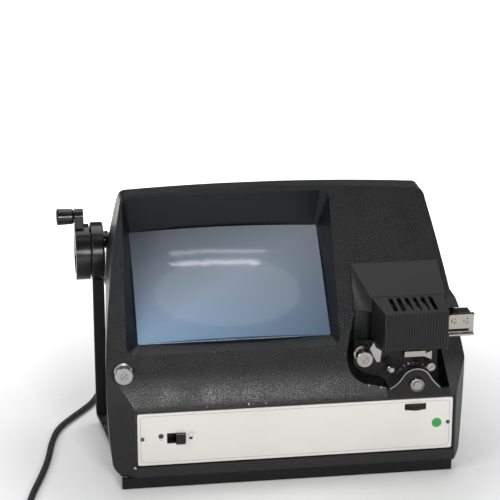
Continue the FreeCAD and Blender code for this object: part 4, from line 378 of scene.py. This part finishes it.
# %% Glass, enamel and rubber
clear = Finish("clear_glass", (0.95, 0.97, 0.97), 0.03, Transmission_Weight=1.0)
mirror = Finish("silvered_glass", (0.9, 0.9, 0.9), 0.03, 1.0)

green = Finish("green_enamel", (0.015, 0.26, 0.04), 0.3, Coat_Weight=0.5)
green.bump(green.noise(700, 2), 0.00002, 0.3)

rubber = Finish("black_rubber", (0.012, 0.012, 0.012), 0.55)
rubber.gloss(rubber.noise(150, 3), 0.48, 0.66)
rubber.bump(rubber.noise(900, 2), 0.00003, 0.3)
print("glass, enamel and rubber made")

# %% [markdown]
# ## Finishes on the CAD nodes
# The record names a material slot for each node, so one table from slot to finish dresses them
# all. Two nodes depart from their slot: the plate's screws are darker than the other steel, and
# the bent film track is duller than the nickel round it.

# %% Finishes on the CAD nodes
BY_SLOT = {
    "casing_black": hammered, "base_black": satin_base, "hub_black": gloss_hub,
    "arm_black": satin_arm, "cover_plastic": ribbed_cover, "inner_plastic": inner_black,
    "plate_silver": plate_silver, "nickel": nickel, "steel": steel, "green_paint": green,
    "rubber_black": rubber, "screen_glass": screen, "clear_glass": clear,
    "mirror_glass": mirror, "copper_core": core_iron, "hood_satin": smooth_hood,
}
slot_of = {part["node"]: part["material_slot"] for part in frame["record"]["subparts"]}
for name, item in nodes.items():
    item.data.materials.clear()
    item.data.materials.append(BY_SLOT[slot_of[name]].material)
nodes["name_plate_screws"].data.materials[0] = dark_steel.material
nodes["film_saddle"].data.materials[0] = steel.material
print("finishes on", len(nodes), "nodes")


# %% [markdown]
# ## Two paints on one casing
# The front casing is a single pressing, speckled outside and smooth inside its recess and its
# bay. So each face of its copy asks where it lies. The leaning face is a plane: what lies
# behind it is inside. Below it the casing bulges out, so the bay is inside a slanted chord
# that runs from the bulge's top edge up to the leaning face's foot.

# %% Inner faces of the casing
FACE_FOOT = spot(0, -60, 103.5)  # on the lower edge of the leaning face
FACE_OUT = Vector((0, -0.8336, 0.5524))  # square to that face, towards the operator
FACE_LOW, FACE_SKIN = 0.1035, 0.0005
RECESS_LEFT, RECESS_RIGHT, RECESS_LOW = -0.133, 0.049, 0.104
BAY_LEFT, BAY_RIGHT, BAY_LOW, BAY_HIGH = 0.036, 0.137, 0.065, 0.138
CHORD_LOW, CHORD_RISE, CHORD_OUT, CHORD_SLOPE, CHORD_SKIN = 0.072, 0.0315, 0.016, 0.508, 0.0008


def is_inner_face(centre):
    """True inside the screen's recess or inside the gate's bay."""
    across = centre.x - SHIFT.x / 1000
    behind = (centre - FACE_FOOT).dot(FACE_OUT) < -FACE_SKIN
    recess = RECESS_LEFT < across < RECESS_RIGHT and centre.z > RECESS_LOW
    bay = BAY_LEFT < across < BAY_RIGHT and BAY_LOW < centre.z < BAY_HIGH
    rise = max(0.0, min(centre.z - CHORD_LOW, CHORD_RISE))
    chord = FACE_FOOT.y - CHORD_OUT + rise * CHORD_SLOPE
    scooped = behind if centre.z > FACE_LOW else centre.y > chord + CHORD_SKIN
    return (recess and behind) or (bay and scooped)


# %% [markdown]
# ## Softened edges
# Pressed and painted steel has no knife edges. A copy of each large visible piece is merged
# into whole faces, and its sharp edges get a small bevel that catches the light. The copy then
# replaces the node. A bevel in real geometry shows on the outline too, which a rounded look in
# the material would not.

# %% Softened copies of the large pieces
ROUNDED = {"front_casing": 0.0007, "rear_cover": 0.0008, "lamp_cover": 0.0003,
           "base_plate": 0.0006, "reel_arm": 0.0006, "crank": 0.0008, "gear_case": 0.0008,
           "name_plate": 0.00025, "splicer_rail": 0.0002, "lamp_hood": 0.0007,
           "screen_glass": 0.0003}
MERGE = 0.000002
FLAT, SHARP = math.radians(0.4), math.radians(28)
bodies_of = {node: body for body, members in frame["record"]["behaviour"]["bodies"].items()
             for node in members}


def softened(node, radius):
    """A copy of a node with its sharp edges rounded, which replaces the node."""
    shape = bmesh.new()
    shape.from_mesh(nodes[node].data)
    bmesh.ops.remove_doubles(shape, verts=shape.verts, dist=MERGE)
    bmesh.ops.dissolve_limit(shape, angle_limit=FLAT, verts=shape.verts, edges=shape.edges)
    edges = [edge for edge in shape.edges if edge.is_manifold and edge.calc_face_angle(0) > SHARP]
    bmesh.ops.bevel(shape, geom=edges, offset=radius, offset_type="OFFSET", segments=3,
                    profile=0.5, affect="EDGES", clamp_overlap=True, material=-1)
    bmesh.ops.triangulate(shape, faces=[face for face in shape.faces if len(face.verts) > 4])
    mesh = mesh_from(shape, node + "_soft", smooth=True)
    piece = finish_piece(node + "_soft", mesh, BY_SLOT[slot_of[node]].material,
                         bodies_of[node], [node])
    even = piece.modifiers.new("even", "WEIGHTED_NORMAL")
    even.keep_sharp = True
    even.weight = 100
    print(node, "softened,", len(mesh.polygons), "faces")
    return mesh


soft = {node: softened(node, radius) for node, radius in ROUNDED.items()}
soft["front_casing"].materials.append(inner_paint.material)
for face in soft["front_casing"].polygons:
    face.material_index = int(is_inner_face(face.center))
print("smooth faces inside the casing:",
      sum(face.material_index for face in soft["front_casing"].polygons))

# %% [markdown]
# ## Printing on the plate
# A thin grey line runs round the plate, and two signs beside the switch show a dark and a lit
# bulb. They are flat shapes just in front of the plate, because real outlines stay sharp from
# near and far. A rectangle's corners are rounded by a bevel of its vertices, and an inset
# leaves a ring when the middle is taken away. All these lengths are in millimetres.

# %% Flat shapes on the plate
PRINT_Y = -74.8 - 0.05  # the plate's front, and the ink just in front of it
ARC_STEPS = 8  # for a quarter of a circle
UPRIGHT = Matrix.Rotation(math.radians(90), 4, "X")


def on_plate(x, z, degrees=0, outward=0):
    """The matrix that stands a flat shape on the plate, turned and then moved outward."""
    turn = Matrix.Rotation(math.radians(degrees), 4, "Z")
    return (Matrix.Translation(spot(x, PRINT_Y, z)) @ UPRIGHT @ turn
            @ Matrix.Translation((outward / 1000, 0, 0)))


def panel(shape, wide, high, place, corner=0):
    """A rectangle with rounded corners; gives back its face."""
    size = Matrix.Diagonal((wide / 2000, high / 2000, 1, 1))
    made = bmesh.ops.create_grid(shape, x_segments=1, y_segments=1, size=1.0,
                                 matrix=place @ size)
    if corner:
        made = bmesh.ops.bevel(shape, geom=made["verts"], offset=corner / 1000,
                               offset_type="OFFSET", segments=ARC_STEPS, profile=0.5,
                               affect="VERTICES", clamp_overlap=True, material=-1)
    return made["verts"][0].link_faces[0]


def disc(shape, radius, place):
    """A round face."""
    made = bmesh.ops.create_circle(shape, cap_ends=True, segments=4 * ARC_STEPS,
                                   radius=radius / 1000, matrix=place)
    return made["verts"][0].link_faces[0]


def ring(shape, face, width):
    """Take away the middle of a face and leave a ring of a width along its outline."""
    bmesh.ops.inset_region(shape, faces=[face], thickness=width / 1000, use_boundary=True,
                           use_even_offset=True)
    bmesh.ops.delete(shape, geom=[face], context="FACES")


# %% [markdown]
# The line keeps a little inside the plate's edge. The lit bulb is an open circle with five rays
# on a filled foot, and the dark bulb is a filled disc on an open foot. The open shapes are
# printed in grey and the filled ones in black, so they make two pieces. These lengths are in
# millimetres too.

# %% Plate printing
PLATE_X, PLATE_Z, PLATE_WIDE, PLATE_HIGH = 6.2, 45.1, 264.4, 46.2
LINE_IN, LINE_CORNER, LINE_WIDE = 2.4, 4.0, 0.3
DARK_X, LIT_X, BULB_Z = -106.7, -82.0, 47.6
LIT_RADIUS, LIT_LINE, DARK_RADIUS = 2.3, 0.4, 2.2
RAYS, RAY_OUT, RAY_LONG, RAY_WIDE = (20, 55, 90, 125, 160), 3.6, 1.4, 0.3
DARK_FOOT_Z, DARK_FOOT_RADIUS, DARK_FOOT_LINE = 44.9, 1.3, 0.3
LIT_FOOT_Z, LIT_FOOT_WIDE, LIT_FOOT_HIGH, LIT_FOOT_CORNER = 44.7, 2.8, 2.4, 0.6
grey_ink = Finish("grey_ink", (0.27, 0.265, 0.255), 0.5)
ink = Finish("black_ink", (0.02, 0.02, 0.02), 0.5)

lines = bmesh.new()
border = panel(lines, PLATE_WIDE - 2 * LINE_IN, PLATE_HIGH - 2 * LINE_IN,
               on_plate(PLATE_X, PLATE_Z), LINE_CORNER)
ring(lines, border, LINE_WIDE)
ring(lines, disc(lines, LIT_RADIUS, on_plate(LIT_X, BULB_Z)), LIT_LINE)
ring(lines, disc(lines, DARK_FOOT_RADIUS, on_plate(DARK_X, DARK_FOOT_Z)), DARK_FOOT_LINE)
for degrees in RAYS:
    panel(lines, RAY_LONG, RAY_WIDE, on_plate(LIT_X, BULB_Z, degrees, RAY_OUT))

signs = bmesh.new()
disc(signs, DARK_RADIUS, on_plate(DARK_X, BULB_Z))
panel(signs, LIT_FOOT_WIDE, LIT_FOOT_HIGH, on_plate(LIT_X, LIT_FOOT_Z), LIT_FOOT_CORNER)

for name, shape, finish in (("plate_lines", lines, grey_ink), ("plate_signs", signs, ink)):
    mesh = mesh_from(shape, name)
    finish_piece(name, mesh, finish.material, "housing")
    print(name, "printed,", len(mesh.polygons), "faces")

# %% [markdown]
# ## Mains cord
# A round lead of 5.6 mm leaves the rear cover through its strain relief, drops to the table
# and runs forward past the left side. Its spare length lies as a neat coil with the plug on
# it. It is a curve and not a mesh: the points are its route, and the curve's own bevel gives
# its thickness, so the lead bends as smoothly as a real one. The route is in millimetres.

# %% The cord's route
CORD_RADIUS = 0.0028
ROUTE = [
    (-95, 82, 24), (-95, 128, 24), (-108, 150, 15), (-130, 150, 5), (-146, 128, 2.95),
    (-153, 104, 2.95), (-169, 80, 2.95), (-187, 52, 2.95), (-194, 22, 2.95),
    (-197.5, -8, 2.95), (-204, -40, 2.95), (-212.5, -72, 2.95), (-217.5, -98, 2.95),
    (-220.5, -124, 2.95), (-222.3, -149.6, 2.95),
]
COIL = (-258.0, -170.0)
LANES = [(35.2, 2.95), (29.8, 2.95), (24.9, 2.95), (24.9, 8.5), (30.0, 8.5), (35.2, 8.5),
         (33.0, 14.0), (27.6, 14.0), (22.2, 14.0)]  # radius and height of each turn's start
PER_TURN = 14
HALF_TURN = PER_TURN // 2
TAIL = [(-25.2, 9, 16.5), (-25.4, 19, 20.4), (-23.0, 31, 21.8), (-13.5, 41.0, 22.8),
        (0.0, 44.0, 23.6), (13.5, 41.0, 23.9), (22.8, 31, 23.8), (24.0, 24, 23.75),
        (24.0, 17, 23.75)]  # across and deep from the coil's middle, and height


def coil_points():
    """Clockwise turns from lane to lane; the last half turn ends at the coil's left side."""
    steps = PER_TURN * (len(LANES) - 2) + HALF_TURN
    points = []
    for step in range(1, steps + 1):
        lane = min(step // PER_TURN, len(LANES) - 2)
        share = step / PER_TURN - lane
        (near, low), (far, high) = LANES[lane], LANES[lane + 1]
        radius = near + (far - near) * share
        level = low + (high - low) * share
        turn = -2 * math.pi * step / PER_TURN
        points.append((COIL[0] + radius * math.cos(turn), COIL[1] + radius * math.sin(turn), level))
    return points


tail = [(COIL[0] + across, COIL[1] + deep, level) for across, deep, level in TAIL]
points = [spot(*point) for point in ROUTE + coil_points() + tail]
print("cord route of", len(points), "points")

# %% [markdown]
# The route's points pull the line towards them without being touched, as control points of a
# smooth spline of order three do. The spline's order and its ends are set after the points are
# there. The far end is the plug from the CAD model, so nothing is left cut off.

# %% The cord
line = bpy.data.curves.new("mains_cord_line", "CURVE")
line.dimensions = "3D"
spline = line.splines.new("NURBS")
spline.points.add(len(points) - 1)
for point, place in zip(spline.points, points):
    point.co = (*place, 1.0)
spline.order_u = 3
spline.use_endpoint_u = True
spline.resolution_u = 6
line.bevel_depth = CORD_RADIUS
line.bevel_resolution = 5
line.use_fill_caps = True
line.materials.append(rubber.material)
cord = bpy.data.objects.new("mains_cord_line", line)
bpy.context.collection.objects.link(cord)
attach(cord, "housing")
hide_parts("mains_cord", "mains_cord_coil")
print("cord laid")

# %% [markdown]
# ## Floor
# A white floor fills the view. To the camera, to metal and to glass it shows brighter than the
# light makes it, a little near the object and fully further away, so it runs out into plain
# white. The weaker glow near the object is a painted shadow round it, on top of the real shadow
# that the lamps cast, and metal and glass mirror that painted shadow too. Matt surfaces get no
# light from that glow, so it doesn't wash the blacks out.

# %% Floor
FLOOR_HALF = 7.0
# painted shadow: the glow is dim near the object and full further out, so the floor darkens round
# it
NEAR_GLOW, FAR_GLOW = 0.1, 1.0
GLOW_STARTS, GLOW_FULL = 0.2, 0.55  # metres from the object's middle
paper = Finish("white_paper", (0.8, 0.8, 0.8), 0.9, Emission_Color=(1.0, 1.0, 1.0, 1.0))
path = paper.tree.nodes.new("ShaderNodeLightPath")
seen = paper.math("MAXIMUM", path.outputs["Is Camera Ray"], path.outputs["Is Glossy Ray"])
seen = paper.math("MAXIMUM", seen, path.outputs["Is Transmission Ray"])
distance = paper.tree.nodes.new("ShaderNodeVectorMath")
distance.operation = "LENGTH"
paper.link(paper.place, distance.inputs[0])
glow_with_painted_shadow = paper.ramp(distance.outputs["Value"], [(GLOW_STARTS, NEAR_GLOW), (GLOW_FULL, FAR_GLOW)])
paper.link(paper.math("MULTIPLY", seen, glow_with_painted_shadow), paper.shader.inputs["Emission Strength"])

ground = bmesh.new()
bmesh.ops.create_grid(ground, x_segments=1, y_segments=1, size=FLOOR_HALF)
floor = bpy.data.objects.new("floor", mesh_from(ground, "floor"))
floor.data.materials.append(paper.material)
bpy.context.collection.objects.link(floor)
print("floor laid")

# %% [markdown]
# ## Light
# The world gives an even dim light from everywhere. A large lamp behind and above makes the
# tops bright and the shadow soft, one at the left and one in front lift the dark faces, and a
# small one in front shines on the casing's bulge above the plate. Area lamps are used because
# black paint shows mainly what it mirrors, and a wide lamp mirrors as a soft sheen.

# %% World and lamps
WORLD_LIGHT = 0.11
MIDDLE = (0, 0, 0.1)
world = bpy.data.worlds.new("studio")
bpy.context.scene.world = world
world.use_nodes = True
background = world.node_tree.nodes["Background"]
background.inputs["Color"].default_value = (1.0, 1.0, 1.0, 1.0)
background.inputs["Strength"].default_value = WORLD_LIGHT


def area_light(name, place, target, size, power, outline="RECTANGLE"):
    """A lamp of a size in metres and a power in watts, turned to a target."""
    data = bpy.data.lights.new(name, "AREA")
    data.shape = outline
    data.size, data.size_y = size
    data.energy = power
    lamp = bpy.data.objects.new(name, data)
    lamp.location = place
    lamp.rotation_euler = (Vector(target) - Vector(place)).to_track_quat("-Z", "Y").to_euler()
    bpy.context.collection.objects.link(lamp)
    print(name, power, "W")


area_light("top_light", (0.1, 0.65, 1.6), MIDDLE, (1.5, 1.2), 17)
area_light("left_light", (-1.3, -0.9, 1.0), MIDDLE, (0.8, 0.8), 10.5)
area_light("front_light", (-0.5, -2.0, 0.5), MIDDLE, (0.8, 0.8), 5)
area_light("bulge_light", (0.10, -1.35, 0.60), spot(-40, -70, 90), (0.3, 0.3), 9.5)

# %% [markdown]
# Three ceiling lamps show in the domed screen: two thin strips bend to arcs, and a dim round
# softbox in front of them gives the soft patch under the arcs. Real lamps are used here, and
# not a painted highlight, so the arcs move over the glass as the view moves.

# %% Ceiling lamps over the screen
area_light("far_strip", (0.105, -0.272, 1.6), (0.105, -0.272, 0), (0.45, 0.012), 0.13)
area_light("near_strip", (0.087, -0.335, 1.6), (0.087, -0.335, 0), (0.42, 0.014), 0.26)
area_light("round_softbox", (0.15, -0.52, 1.62), (0.15, -0.52, 0), (0.75, 0.42), 0.8, "ELLIPSE")

bpy.context.scene.view_settings.view_transform = "Standard"
